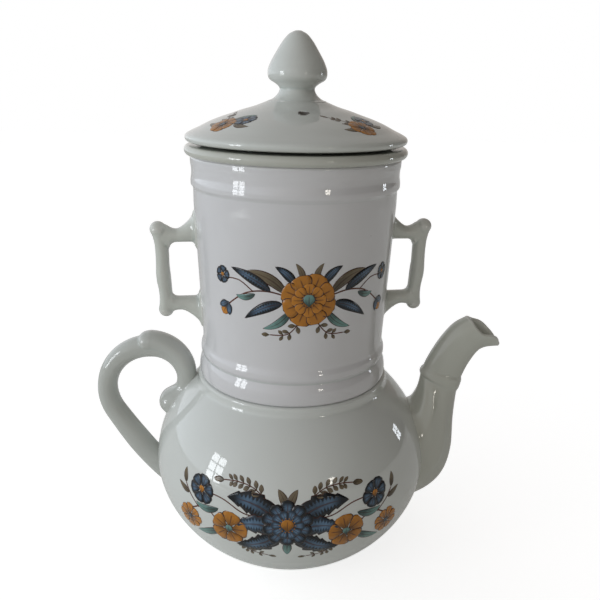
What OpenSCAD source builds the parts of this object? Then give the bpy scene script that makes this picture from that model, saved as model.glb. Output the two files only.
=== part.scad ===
// Drip coffee pot of glazed porcelain in four loose pieces that stack on one axis:
// a round pot with spout and scroll handle, a filter cylinder with two ear handles,
// a water spreader whose thick flange shows as a ring, and a domed lid with an acorn knob.
// Origin: centre of the foot ring on the table. +Z up, spout towards +X, handle towards -X.

/* [Pot body] */
// Radius of the belly at its widest line
belly_r = 80.8; // [74:0.2:88]
// Height of the belly's widest line above the table
belly_z = 58.5; // [52:0.5:64]
// Vertical reach of the belly's lower half if it closed to a point
belly_drop = 67.5; // [66:0.5:74]
// Vertical reach of the belly's upper half if it closed to a point
belly_rise = 69; // [62:0.5:74]
// Outer radius of the collar that carries the filter
collar_r = 55; // [54:0.2:57]
// Height of the collar's flat rim above the table
rim_z = 113; // [110:0.5:118]
// Inner radius of the neck
neck_r = 49.5; // [47:0.2:50.5]
// Wall thickness of the belly
pot_wall = 4; // [3:0.2:5.5]
// Outer radius of the foot ring
foot_r = 42; // [38:0.5:46]
// Width of the foot ring's flat face
foot_w = 5; // [4:0.5:8]
// Depth of the hollow inside the foot ring
foot_hollow = 2.4; // [1.5:0.1:4]
// Radius of the passage from the belly into the spout
spout_bore_r = 12; // [8:0.5:15]
// Height of that passage above the table
spout_bore_z = 60; // [52:1:66]

/* [Spout] */
// How far the pouring lip reaches beyond the belly
lip_reach = 41; // [36:0.5:48]
// Height of the pouring lip above the table
lip_z = 130.6; // [124:0.2:138]
// Width of the spout across its root
root_w = 42; // [34:1:48]
// Width of the spout across its upper part
throat_w = 13.2; // [12:0.2:18]
// Wall thickness of the spout
spout_wall = 3; // [2.4:0.1:4]
// How far the ring moulding stands out of the spout
ring_rise = 1; // [0.5:0.1:2]

/* [Pot handle] */
// Height of the handle's rolled end above the belly's widest line
curl_up = 29.7; // [26:0.5:34]
// Diameter of the rolled end
curl_d = 15.6; // [12:0.2:18]
// How far the crown of the handle stands out from the rolled end
crown_out = 10.5; // [8:0.5:14]
// Height of the crown's centre line above the rolled end
crown_up = 35.5; // [32:0.5:40]
// Radius of the scroll between crown and rolled end
scroll_r = 20.2; // [18:0.2:22]
// Radius of the outer bow
bow_r = 28.2; // [25:0.2:31]
// Thickness of the handle at its crown
crown_t = 13.2; // [11:0.1:15]
// Thickness of the bow at its outermost point
bow_t = 11.3; // [9:0.1:13]
// Thickness of the scroll where it turns down to the shoulder
scroll_t = 11.2; // [9:0.1:13]
// Thickness of the tail that runs down to the belly
tail_t = 14.2; // [11:0.1:16]
// Depth of the handle from front to back
handle_w = 13; // [10:0.2:16]
// Height of the tail's root below the belly's widest line
tail_down = 24; // [18:0.5:28]
// How far the thumb leaf stands above the crown
leaf_rise = 2; // [1:0.1:3]

/* [Filter] */
// Outer radius of the filter's wall above its lower mouldings
wall_low_r = 51.6; // [51:0.1:53]
// Outer radius of the filter's wall below its upper mouldings
wall_top_r = 54.8; // [54:0.1:56]
// Height of the filter from its seat to its top face
filter_h = 123; // [115:0.5:130]
// Thickness of the filter's wall
filter_wall = 4.4; // [3.6:0.1:5]
// How far the band at the filter's seat stands out
band_rise = 2.3; // [1.5:0.1:2.6]
// How far the narrow ridges stand out
ridge_rise = 1.1; // [0.6:0.1:1.6]
// Length of the spigot that enters the neck
spigot_len = 14; // [8:0.5:20]
// Wall thickness of the spigot
spigot_wall = 4.4; // [3.6:0.1:6]
// Thickness of the pierced floor
sieve_t = 4.5; // [3:0.1:6]
// Diameter of the holes in the pierced floor
sieve_hole_d = 2; // [1.5:0.1:2.6]
// Number of rings of holes in the pierced floor
sieve_rings = 5; // [3:1:6]
// Turn of the filter about the pot's axis, away from the spout
filter_turn = 9; // [0:1:20]

/* [Filter handles] */
// Clear width between the wall and the upright grip
ear_gap = 15.2; // [12:0.2:20]
// Thickness of the upright grip
ear_t = 7.3; // [6:0.1:9]
// Depth of the ear handle from front to back
ear_w = 9.4; // [7:0.2:12]
// Height of the finger hole
ear_hole_h = 31; // [26:0.5:36]
// Height of the finger hole's lower edge above the filter's seat
ear_hole_z = 45.2; // [36:0.5:50]
// Radius of the knuckle at the grip's upper end
knuckle_r = 5.3; // [4.6:0.1:6]

/* [Spreader] */
// How far the spreader's rolled flange stands out past the lid
flange_lap = 0.6; // [0:0.1:2]
// Thickness of the flange
flange_t = 5.2; // [4:0.1:7]
// Depth of the cup below the flange
cup_depth = 16; // [12:0.5:22]
// Wall and floor thickness of the cup
cup_wall = 3.4; // [2.8:0.1:4.5]
// Diameter of the holes in the cup's floor
cup_hole_d = 3; // [2:0.1:4]

/* [Lid] */
// Outer radius of the lid
lid_r = 58.4; // [57:0.1:60]
// Height of the lid's dome above its seat
dome_h = 23; // [20:0.5:28]
// Thickness of the lid's shell
lid_wall = 4.2; // [3.2:0.1:5]
// Length of the lid's locating ring below the seat
lid_ring_len = 8; // [5:0.5:9]
// Thickness of the locating ring
lid_ring_t = 4; // [3:0.1:5]
// Diameter of the steam vent
vent_d = 3; // [2:0.1:4]
// Distance of the steam vent from the axis
vent_out = 28.5; // [24:0.5:32]
// Radius of the knob's stem
stem_r = 9.2; // [8:0.1:10.5]
// Largest radius of the knob
knob_r = 15.4; // [13:0.1:17]
// Height of the knob with its stem
knob_h = 33.2; // [29:0.2:37]

/* [Fits] */
// Radial clearance of the spigot in the neck
neck_play = 0.7; // [0.5:0.1:1.2]
// Radial clearance of the spreader's cup in the filter
cup_play = 0.9; // [0.5:0.1:1.5]
// Radial clearance of the lid's locating ring in the spreader's cup
lid_play = 0.9; // [0.5:0.1:1.5]
// Thickness of the slip that joins handles and spout to the bodies
slip = 0.02; // [0.01:0.01:0.05]

/* [Hidden] */
$fn = 96;

porcelain = "#dfe3e1";
porcelain_shade = "#cfd3cf";

// Roundness of the belly: 2 is an ellipse
low_power = 1.86;
top_power = 1.95;
edge_r = 1.6;           // rounding of the rims
sides = 24;             // points round a swept section
curve_steps = 6;        // points between two stations of a smooth curve

filter_top = rim_z + filter_h;
flange_top = filter_top + flange_t;
spigot_r = neck_r - neck_play;
filter_bore_r = wall_top_r - filter_wall;
cup_r = filter_bore_r - cup_play;
cup_in_r = cup_r - cup_wall;
lid_ring_r = cup_in_r - lid_play;
lid_ring_in_r = lid_ring_r - lid_ring_t;
flange_r = lid_r + flange_lap;
knob_z = flange_top + dome_h;
stem_seat_r = stem_r + 3.6;

// ---------- curves ----------

// Catmull-Rom value between b and c at t from 0 to 1
function glide(a, b, c, d, t) =
    0.5 * (2 * b + (c - a) * t + (2 * a - 5 * b + 4 * c - d) * t * t + (3 * b - a - 3 * c + d) * t * t * t);

// Smooth curve through a list of stations of any length, ends included
function smooth(p, steps = curve_steps) =
    let (n = len(p) - 1)
    concat(
        [for (i = [0:n - 1]) for (k = [0:steps - 1])
            glide(p[max(i - 1, 0)], p[i], p[i + 1], p[min(i + 2, n)], k / steps)],
        [p[n]]
    );

// Soft bump of height 1 and half width w
function bump(d, w) = exp(-pow(abs(d / w), 3));

// ---------- belly and filter radii ----------

// Outer radius of the belly at height z
function belly_at(z, grow = 0) =
    z < belly_z
        ? (belly_r + grow) * pow(max(0, 1 - pow((belly_z - z) / (belly_drop + grow), low_power)), 1 / low_power)
        : (belly_r + grow) * pow(max(0, 1 - pow((z - belly_z) / (belly_rise + grow), top_power)), 1 / top_power);

// Height on the upper half at which the belly has radius r
function belly_height(r, grow = 0) =
    belly_z + (belly_rise + grow) * pow(1 - pow(r / (belly_r + grow), top_power), 1 / top_power);

// Belly outline from height z0 to z1, closer together towards both ends
function belly_curve(z0, z1, grow = 0, n = 36) =
    [for (i = [0:n]) let (z = z0 + (z1 - z0) * (1 - cos(180 * i / n)) / 2) [belly_at(z, grow), z]];

// Outer radius of the filter at height h above its seat
wall_start = 24;
wall_end = filter_h - 25;
function filter_at(h) =
    wall_low_r
    + (wall_top_r - wall_low_r) * min(1, max(0, (h - wall_start) / (wall_end - wall_start)))
    + band_rise * bump(h - 3, 6.5)
    + ridge_rise * bump(h - 16, 3.4)
    + ridge_rise * bump(h - (filter_h - 15.6), 3.6)
    + ridge_rise * 0.9 * bump(h - (filter_h - 3.5), 5);

// ---------- swept solids ----------

// Station of a sweep: centre x, centre z, direction angle in the XZ plane, half thickness, half depth
function ring_at(s, power) =
    [for (j = [0:sides - 1])
        let (
            a = 360 * j / sides,
            u = s[3] * sign(cos(a)) * pow(abs(cos(a)), 2 / power),
            v = s[4] * sign(sin(a)) * pow(abs(sin(a)), 2 / power)
        )
        [s[0] - u * sin(s[2]), v, s[1] + u * cos(s[2])]];

module sweep(stations, power = 2.2) {
    rings = len(stations);
    points = [for (s = stations) each ring_at(s, power)];
    walls = [for (i = [0:rings - 2]) for (j = [0:sides - 1])
        let (a = i * sides + j, b = i * sides + (j + 1) % sides)
        each [[a, b, a + sides], [b, b + sides, a + sides]]];
    near_cap = [for (j = [sides - 1:-1:0]) j];
    far_cap = [for (j = [0:sides - 1]) (rings - 1) * sides + j];
    polyhedron(points, concat(walls, [near_cap, far_cap]));
}

// ---------- pot ----------

collar_z = belly_height(collar_r);
floor_z = foot_hollow + pot_wall;
neck_z = belly_height(neck_r, -pot_wall);

// Outer outline of the pot from the foot to the rim, grown by a film
function pot_outline(grow = 0) =
    concat(
        [[foot_r + grow, 0], [foot_r + grow, foot_hollow]],
        belly_curve(foot_hollow + 1.2, collar_z, grow),
        [[collar_r + grow, collar_z + 0.5], [collar_r + grow, rim_z - edge_r],
         [collar_r - edge_r * 0.3 + grow, rim_z - edge_r * 0.3], [collar_r - edge_r + grow, rim_z]]
    );

module pot_solid(grow = 0) {
    rotate_extrude($fn = 180)
        polygon(concat([[0, 0]], pot_outline(grow), [[0, rim_z]]));
}

module pot_body() {
    foot_in = foot_r - foot_w;
    cavity = belly_curve(neck_z, floor_z, -pot_wall);
    color(porcelain)
    difference() {
        rotate_extrude()
            polygon(concat(
                [[foot_in, 0]], pot_outline(),
                [[neck_r + 1, rim_z], [neck_r, rim_z - 1]],
                cavity,
                [[0, floor_z], [0, foot_hollow], [foot_in - 1, foot_hollow]]
            ));
        translate([belly_r - 3 * pot_wall, 0, spout_bore_z])
            rotate([0, 90, 0])
            cylinder(r = spout_bore_r, h = 4 * pot_wall);
    }
}

// ---------- spout ----------

// Stations: inner edge x and z, outer edge x and z, half width; x from the belly radius
lip_out = belly_r + lip_reach;
ring_z = lip_z - 23;
spout_stations = [
    [belly_r - 22, belly_z + 28, belly_r - 22, belly_z - 31, root_w * 0.52],
    [belly_r - 13, belly_z + 35, belly_r - 9, belly_z - 33, root_w * 0.5],
    [belly_r - 8.5, belly_z + 38.5, belly_r + 5, belly_z - 26, root_w * 0.46],
    [belly_r - 5.8, belly_z + 42.5, belly_r + 14.5, belly_z - 13.5, root_w * 0.4],
    [belly_r - 4.4, belly_z + 46.2, belly_r + 18.3, belly_z + 3.5, root_w * 0.32],
    [belly_r - 3.8, belly_z + 49, belly_r + 17.8, belly_z + 24, root_w * 0.23],
    [belly_r - 3.6, ring_z + 2.6, belly_r + 18.6, ring_z - 6.4, throat_w * 0.53],
    [belly_r - 1.4, ring_z + 10, belly_r + 21.4, ring_z + 4, throat_w * 0.5],
    [belly_r + 2.7, ring_z + 19, belly_r + 24.4, ring_z + 11.3, throat_w * 0.5],
    [belly_r + 7.5, ring_z + 27.2, belly_r + 28.2, ring_z + 17.6, throat_w * 0.5],
    [belly_r + 13.5, lip_z + 11.4, lip_out - 8.3, lip_z - 2, throat_w * 0.5],
    [belly_r + 20.1, lip_z + 15.8, lip_out, lip_z, throat_w * 0.48]
];

// Turns a spout station into a sweep station whose section is inset by a wall
function spout_section(p, inset) =
    let (dx = p[2] - p[0], dz = p[3] - p[1], reach = norm([dx, dz]))
    [(p[0] + p[2]) / 2, (p[1] + p[3]) / 2, atan2(dz, dx) + 90, reach / 2 - inset, p[4] - inset];

function spout_sweep(inset) = [for (p = smooth(spout_stations, 4)) spout_section(p, inset)];

// The channel leaves the mouth through the rim
function spout_channel() =
    let (s = spout_sweep(spout_wall), n = len(s) - 1, a = s[n][2])
    concat(s, [[s[n][0] + 6 * cos(a), s[n][1] + 6 * sin(a), a, s[n][3], s[n][4]]]);

module spout_ring() {
    p = spout_stations[6];
    s = spout_section(p, 0);
    h = 2.4;
    sweep([for (k = [-4:4])
        let (g = ring_rise * sqrt(max(0, 1 - pow(k / 4, 2))) - 0.2)
        [s[0] + h * k / 4 * cos(s[2]), s[1] + h * k / 4 * sin(s[2]), s[2], s[3] + g, s[4] + g]]);
}

module pot_spout() {
    color(porcelain_shade)
    difference() {
        union() {
            sweep(spout_sweep(0));
            spout_ring();
        }
        sweep(spout_channel());
        pot_solid(slip);
    }
}

// ---------- pot handle ----------

curl_z = belly_z + curl_up;
curl_x = -belly_at(curl_z);
crown_x = curl_x - crown_out;
crown_z = curl_z + crown_up;
scroll_z = crown_z - scroll_r;
bow_z = crown_z - bow_r;
scroll_end = atan2(curl_z - scroll_z, curl_x - crown_x);
scroll_end_r = norm([curl_x - crown_x, curl_z - scroll_z]);
bow_end = 211;

// Scroll from the crown (t = 0) to the rolled end (t = 1), tightening a little
function scroll_point(t, out = 0) =
    let (a = 90 + (scroll_end - 90) * t, r = scroll_r + (scroll_end_r - scroll_r) * t * t + out)
    [crown_x + r * cos(a), scroll_z + r * sin(a), a - 90];

// Bow from the crown (t = 0) to the start of the tail (t = 1)
function bow_point(t, out = 0) =
    let (a = 90 + (bow_end - 90) * t, r = bow_r + out)
    [crown_x + r * cos(a), bow_z + r * sin(a), a + 90];

// Tail from the bow (t = 0) into the belly (t = 1)
tail_z = belly_z - tail_down;
tail_start = bow_point(1);
tail_end = [-belly_at(tail_z) + 4, tail_z];
tail_pull = norm([tail_end[0] - tail_start[0], tail_end[1] - tail_start[1]]) / 3;
tail_knots = [
    [tail_start[0], tail_start[1]],
    [tail_start[0] + tail_pull * cos(tail_start[2]), tail_start[1] + tail_pull * sin(tail_start[2])],
    [tail_end[0] - tail_pull * cos(-40), tail_end[1] - tail_pull * sin(-40)],
    tail_end
];
function tail_point(t) =
    let (
        k = tail_knots,
        p = pow(1 - t, 3) * k[0] + 3 * t * pow(1 - t, 2) * k[1] + 3 * t * t * (1 - t) * k[2] + pow(t, 3) * k[3],
        d = pow(1 - t, 2) * (k[1] - k[0]) + 2 * t * (1 - t) * (k[2] - k[1]) + t * t * (k[3] - k[2])
    )
    [p[0], p[1], atan2(d[1], d[0])];

function with_section(p, thick, depth, flip = 0) = [p[0], p[1], p[2] + flip, thick / 2, depth / 2];

module handle_leaf() {
    thick = crown_t - 2;
    out = (crown_t - thick) / 2 + leaf_rise;
    wide = handle_w + 1.6;
    start = 0.16;
    bow_part = [for (k = [8:-1:1])
        let (t = k / 8, e = sqrt(1 - pow(t, 2.4)) + 0.02)
        with_section(bow_point(start * t, out - leaf_rise * 0.4 * t), thick * e, wide * e, 180)];
    scroll_part = [for (k = [0:12])
        let (t = k / 12, e = 1 - 0.22 * t * t)
        with_section(scroll_point(0.8 * t, out * (1 - t)), thick * e, wide * e)];
    sweep(concat(bow_part, scroll_part));
}

// Thickness of the ball that ends the scroll, where a point of the scroll lies inside it
function curl_thick(p) =
    let (d = norm([p[0] - curl_x, p[1] - curl_z]))
    d < curl_d / 2 ? 2 * sqrt(curl_d * curl_d / 4 - d * d) : 0;

function curl_cap() =
    let (p = scroll_point(1))
    [for (k = [5:-1:1])
        let (a = 16 * k, reach = curl_d / 2 * sin(a), size = curl_d * cos(a))
        with_section([p[0] + reach * cos(p[2]), p[1] + reach * sin(p[2]), p[2]], size, size, 180)];

module pot_handle() {
    scroll_part = [for (k = [20:-1:1])
        let (
            p = scroll_point(k / 20),
            thick = lookup(k / 20, [[0, crown_t], [0.55, scroll_t], [1, scroll_t]])
        )
        with_section(p, max(thick, curl_thick(p)), max(handle_w, curl_thick(p)), 180)];
    bow_part = [for (k = [0:14])
        with_section(bow_point(k / 14), lookup(k / 14, [[0, crown_t], [0.7, bow_t], [1, bow_t + 1]]), handle_w)];
    tail_part = [for (k = [1:12])
        with_section(tail_point(k / 12), lookup(k / 12, [[0, bow_t + 1], [0.4, tail_t], [1, tail_t]]), handle_w)];
    color(porcelain_shade)
    difference() {
        union() {
            sweep(concat(curl_cap(), scroll_part, bow_part, tail_part));
            handle_leaf();
        }
        pot_solid(slip);
    }
}

// ---------- filter ----------

sieve_z = rim_z - spigot_len;
sieve_r = spigot_r - spigot_wall;
ring_pitch = sieve_r / (sieve_rings + 0.6);

module hole_rings(rings, pitch, d, z, h) {
    translate([0, 0, z])
        cylinder(d = d, h = h, $fn = 20);
    for (k = [1:rings])
        for (i = [0:6 * k - 1])
            rotate([0, 0, 60 * i / k])
            translate([k * pitch, 0, z])
            cylinder(d = d, h = h, $fn = 20);
}

// Outer outline of the filter above its seat
function filter_outline(grow = 0) =
    concat(
        [[filter_at(0) - edge_r + grow, rim_z], [filter_at(0.5) - 0.3 + grow, rim_z + 0.5]],
        [for (h = [1.5:1.5:22.5]) [filter_at(h) + grow, rim_z + h]],
        [for (h = [wall_start:(wall_end - wall_start) / 4:wall_end + 0.1]) [filter_at(h) + grow, rim_z + h]],
        [for (k = [1:15]) let (h = wall_end + 1.6 * k) [filter_at(min(h, filter_h - 1)) + grow, rim_z + min(h, filter_h - 1)]],
        [[filter_at(filter_h) - 0.8 + grow, filter_top]]
    );

module filter_solid(grow = 0) {
    rotate_extrude($fn = 180)
        polygon(concat([[0, rim_z]], filter_outline(grow), [[0, filter_top]]));
}

module filter_body() {
    color(porcelain)
    difference() {
        rotate_extrude()
            polygon(concat(
                [[0, sieve_z], [spigot_r - 1, sieve_z], [spigot_r, sieve_z + 1], [spigot_r, rim_z]],
                filter_outline(),
                [[filter_bore_r + 1, filter_top], [filter_bore_r, filter_top - 1],
                 [filter_bore_r, filter_top - cup_depth - cup_play],
                 [wall_low_r - filter_wall, rim_z + wall_start],
                 [sieve_r, rim_z + 2], [sieve_r, sieve_z + sieve_t], [0, sieve_z + sieve_t]]
            ));
        hole_rings(sieve_rings, ring_pitch, sieve_hole_d, sieve_z - 1, sieve_t + 2);
    }
}

// ---------- filter handles ----------

ear_low = rim_z + ear_hole_z;
ear_high = ear_low + ear_hole_h;
grip_x = filter_at(ear_hole_z + ear_hole_h / 2) + ear_gap + ear_t / 2;
grip_lean = (wall_top_r - wall_low_r) / (wall_end - wall_start);
ear_low_r = knuckle_r - 0.5;

// Upright grip with a knuckle at each end and a soft swell in the middle
module ear_grip() {
    z0 = ear_low - 6.6;
    z1 = ear_high + 5.8;
    mid = (z0 + z1) / 2;
    n = 22;
    lower_end = z0 - ear_low_r;
    span = z1 + knuckle_r - lower_end;
    sweep([for (k = [0:n])
        let (
            z = lower_end + span * (1 - cos(180 * k / n)) / 2,
            from_low = (z - z0) / ear_low_r,
            from_high = (z - z1) / knuckle_r,
            ball = max(
                abs(from_low) < 1 ? ear_low_r * sqrt(1 - from_low * from_low) : 0,
                abs(from_high) < 1 ? knuckle_r * sqrt(1 - from_high * from_high) : 0
            ),
            bar = z > z0 && z < z1 ? ear_t / 2 + 0.35 * bump(z - mid + 4, 5) : 0,
            half = max(ball, bar, 0.3)
        )
        [grip_x + grip_lean * (z - mid), z, 90, half, half * ear_w / ear_t * (ball > bar ? 0.92 : 1)]]);
}

// Arm from inside the wall to the grip; up is +1 for the upper arm and -1 for the lower one
module ear_arm(edge_z, thick, flare, up) {
    wall_x = filter_at(edge_z - rim_z);
    n = 12;
    sweep([for (k = [0:n])
        let (
            x = wall_x - 2 + (grip_x - wall_x + 2) * k / n,
            near = max(0, 1 - (x - wall_x) / 11),
            outer = flare * pow(near, 2.2),
            inner = 2.6 * pow(max(0, 1 - (x - wall_x) / 4), 2),
            half = (thick + outer + inner) / 2
        )
        [x, edge_z + up * (thick + outer - inner) / 2, 0, half, ear_w / 2 + 2.4 * pow(near, 2)]]);
}

module filter_ear() {
    color(porcelain_shade)
    difference() {
        union() {
            ear_grip();
            ear_arm(ear_high, ear_t, 11, 1);
            ear_arm(ear_low, ear_t + 0.4, 9, -1);
        }
        filter_solid(slip);
    }
}

module filter_handle_left() {
    rotate([0, 0, 180 + filter_turn])
        filter_ear();
}

module filter_handle_right() {
    rotate([0, 0, filter_turn])
        filter_ear();
}

// ---------- spreader ----------

module spreader() {
    floor_low = filter_top - cup_depth;
    half = flange_t / 2;
    corner = cup_wall;
    bead = [for (a = [-80:20:80]) [flange_r - half + half * cos(a), filter_top + half + half * sin(a)]];
    color(porcelain)
    difference() {
        rotate_extrude()
            polygon(concat(
                [[0, floor_low], [cup_r - corner, floor_low], [cup_r - corner * 0.3, floor_low + corner * 0.3],
                 [cup_r, floor_low + corner], [cup_r, filter_top]],
                [[flange_r - half, filter_top]], bead, [[flange_r - half, flange_top]],
                [[cup_in_r + 1, flange_top], [cup_in_r, flange_top - 1],
                 [cup_in_r, floor_low + cup_wall + 1.5], [cup_in_r - 1.5, floor_low + cup_wall],
                 [0, floor_low + cup_wall]]
            ));
        hole_rings(3, cup_in_r / 4, cup_hole_d, floor_low - 1, cup_wall + 2);
    }
}

// ---------- lid ----------

// Upper outline of the lid from its rim to the knob's seat, as radius and height above the seat
lid_outline = smooth([
    [lid_r - 2.4, 0], [lid_r - 0.6, 1.4], [lid_r, 3.4], [lid_r - 0.8, 5], [lid_r - 3.5, dome_h - 16.2],
    [lid_r - 7, dome_h - 14.6], [lid_r - 12.5, dome_h - 11.8], [lid_r - 18.5, dome_h - 9.4],
    [lid_r - 24.2, dome_h - 7.5], [lid_r - 30, dome_h - 5.5], [lid_r - 36.7, dome_h - 3.5],
    [stem_seat_r + 4, dome_h - 1.6], [stem_seat_r, dome_h]
], 3);

// Underside of the shell, one wall below the dome
function lid_inside() = [
    [lid_ring_in_r, 0.5], [lid_ring_in_r, dome_h - 14.5 - lid_wall + 2], [lid_r - 30, dome_h - 5.5 - lid_wall],
    [stem_seat_r + 4, dome_h - 2.4 - lid_wall], [0, dome_h - 2 - lid_wall]
];

module lid() {
    color(porcelain)
    translate([0, 0, flange_top])
    difference() {
        rotate_extrude()
            polygon(concat(
                [[lid_ring_in_r, -lid_ring_len], [lid_ring_r - 0.8, -lid_ring_len],
                 [lid_ring_r, -lid_ring_len + 0.8], [lid_ring_r, 0]],
                lid_outline, [[0, dome_h]],
                [for (k = [4:-1:0]) lid_inside()[k]]
            ));
        rotate([0, 0, -83])
            translate([vent_out, 0, -1])
            cylinder(d = vent_d, h = dome_h + 2, $fn = 24);
    }
}

// Knob profile as radius and height above the lid's crown
knob_profile = concat(
    [[stem_seat_r, 0]],
    smooth([
        [stem_seat_r - 0.1, 0.5], [stem_r + 1.3, 2], [stem_r, 4.4], [stem_r + 0.3, 6],
        [stem_r + 2.1, 7.6], [knob_r - 1.2, 9.4], [knob_r - 0.1, 11.4], [knob_r - 0.1, 14.2],
        [knob_r - 0.9, 16.6], [knob_r - 2.2, 19.4], [knob_r - 4.6, knob_h - 9.8],
        [knob_r - 7.4, knob_h - 5.4], [knob_r - 10.6, knob_h - 1.8], [1.4, knob_h - 0.15]
    ], 3),
    [[0, knob_h]]
);

module lid_knob() {
    color(porcelain_shade)
    translate([0, 0, knob_z])
    rotate_extrude()
        polygon(concat([[0, 0]], knob_profile));
}

pot_body();
pot_spout();
pot_handle();
filter_body();
filter_handle_left();
filter_handle_right();
spreader();
lid();
lid_knob();
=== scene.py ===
"""Drip coffee pot of glazed porcelain: pot, filter, water spreader and lid, built around the fixed frame."""

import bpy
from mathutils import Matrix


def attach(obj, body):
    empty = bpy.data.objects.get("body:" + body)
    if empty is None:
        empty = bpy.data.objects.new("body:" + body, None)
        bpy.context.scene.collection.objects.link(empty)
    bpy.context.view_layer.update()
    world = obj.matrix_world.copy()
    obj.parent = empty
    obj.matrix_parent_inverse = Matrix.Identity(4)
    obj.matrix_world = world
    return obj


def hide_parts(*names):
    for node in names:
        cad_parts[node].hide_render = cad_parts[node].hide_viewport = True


bl_info = {
    "name": "Porcelain Drip Coffee Pot",
    "version": (1, 0, 0),
    "blender": (4, 5, 0),
    "location": "3D View > Sidebar > Coffee Pot",
    "description": "Builds a porcelain drip coffee pot in four loose pieces, with enamel flower prints",
    "category": "Add Mesh",
}

from math import atan2, copysign, cos, degrees, exp, hypot, pi, radians, sin, sqrt

import bmesh
import bpy
import numpy as np
from bpy.props import FloatProperty, FloatVectorProperty, IntProperty, PointerProperty
from mathutils import Matrix, Vector

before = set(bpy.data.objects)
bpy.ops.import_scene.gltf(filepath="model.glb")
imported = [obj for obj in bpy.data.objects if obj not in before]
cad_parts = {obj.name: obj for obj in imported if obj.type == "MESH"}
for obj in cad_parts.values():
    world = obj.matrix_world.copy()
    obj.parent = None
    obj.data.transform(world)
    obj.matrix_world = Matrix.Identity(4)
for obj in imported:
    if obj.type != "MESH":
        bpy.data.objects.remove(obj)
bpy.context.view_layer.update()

MM = 0.001

# Roundness of the belly's lower and upper half; 2 is an ellipse.
LOWER_ROUND, UPPER_ROUND = 1.86, 1.95
# Fullness of the section of spout, handle and ears; 2 is an ellipse.
FULL = 2.2
# Play of the spigot in the neck, and of the cup and the lid's ring in what holds them, in millimetres.
SPIGOT_PLAY, CUP_PLAY = 0.7, 0.9
# Heights of the ears' lower arm above the filter's seat and of the finger hole, in millimetres.
EAR_LOW, EAR_TALL = 45.2, 31.0
# Thickness of the filter's pierced floor and radius of the spreader's holes, in millimetres.
SIEVE_T, SPREADER_HOLE_R = 4.5, 1.5
# Place of the steam vent round the lid, in degrees from the x axis.
VENT_TURN = -83
# Heights of the prints' middles, above the table and on the lid above its seat, in millimetres.
POT_PRINT_Z, FILTER_PRINT_Z, LID_PRINT_Z = 61.0, 171.5, 12.2
# Height of a print above the glaze, of each layer above the one below, and its thickness, in millimetres.
PRINT_OFF, PRINT_LAYER, PRINT_THICK = 0.03, 0.016, 0.015
# Edges sharper than these angles stay crisp on turned and on carved pieces, in degrees.
TURNED_EDGE, CARVED_EDGE = 40, 45


# ---------- sizes and colours that a user would change ----------


def length(name, description, default_mm):
    """A length property, stored in metres."""
    return FloatProperty(name=name, description=description, default=default_mm * MM, min=0.0, precision=5,
                         subtype="DISTANCE", unit="LENGTH")


def angle(name, description, default_degrees):
    """An angle property, stored in radians."""
    return FloatProperty(name=name, description=description, default=radians(default_degrees),
                         subtype="ANGLE", unit="ROTATION")


def colour(name, description, value):
    """A linear colour property."""
    return FloatVectorProperty(name=name, description=description, default=value, size=3, min=0.0, max=1.0,
                               subtype="COLOR")


class PotSizes(bpy.types.PropertyGroup):
    """Sizes of the pot with its spout and handle"""

    belly_r: length("Belly radius", "Radius of the belly at its widest line", 80.5)
    belly_z: length("Belly height", "Height of the widest line above the table", 58.5)
    belly_drop: length("Lower reach", "Vertical reach of the lower half if it closed to a point", 67.5)
    belly_rise: length("Upper reach", "Vertical reach of the upper half if it closed to a point", 69)
    collar_r: length("Collar radius", "Outer radius of the collar that carries the filter", 55)
    rim_z: length("Rim height", "Height of the collar's flat rim", 113)
    neck_r: length("Neck radius", "Inner radius of the neck", 49.5)
    wall: length("Wall", "Thickness of the belly's wall", 4)
    foot_r: length("Foot radius", "Outer radius of the foot ring", 42)
    foot_w: length("Foot width", "Width of the foot ring's flat face", 5)
    foot_hollow: length("Foot hollow", "Depth of the hollow inside the foot ring", 2.4)
    spout_bore_r: length("Spout passage radius", "Radius of the passage into the spout", 12)
    spout_bore_z: length("Spout passage height", "Height of the passage into the spout", 60)
    lip_reach: length("Lip reach", "How far the pouring lip reaches beyond the belly", 41)
    lip_z: length("Lip height", "Height of the pouring lip", 130.6)
    root_w: length("Spout root width", "Width of the spout across its root", 42)
    throat_w: length("Spout throat width", "Width of the spout across its upper part", 13.2)
    spout_wall: length("Spout wall", "Wall thickness of the spout", 3)
    handle_w: length("Handle depth", "Depth of the handle from front to back", 13)


class FilterSizes(bpy.types.PropertyGroup):
    """Sizes of the filter, its ear handles and the water spreader"""

    wall_low_r: length("Lower wall radius", "Outer radius above the lower mouldings", 51.6)
    wall_top_r: length("Upper wall radius", "Outer radius below the upper mouldings", 54.8)
    height: length("Filter height", "Height from the seat to the top face", 123)
    wall: length("Filter wall", "Thickness of the filter's wall", 4.4)
    spigot_len: length("Spigot length", "Length of the spigot that enters the neck", 14)
    sieve_hole_d: length("Drip hole", "Diameter of the holes in the pierced floor", 2)
    turn: angle("Filter turn", "Turn of the filter about the pot's axis", 9)
    ear_gap: length("Finger room", "Clear width between wall and grip", 15.2)
    ear_t: length("Grip thickness", "Thickness of the upright grip", 7.3)
    ear_w: length("Grip depth", "Depth of the ear handle", 9.4)
    flange_r: length("Flange radius", "Outer radius of the spreader's rolled flange", 59)
    flange_t: length("Flange thickness", "Thickness of the spreader's flange", 5.2)
    cup_depth: length("Cup depth", "Depth of the spreader's cup", 16)
    cup_wall: length("Cup wall", "Wall and floor thickness of the cup", 3.4)


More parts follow.
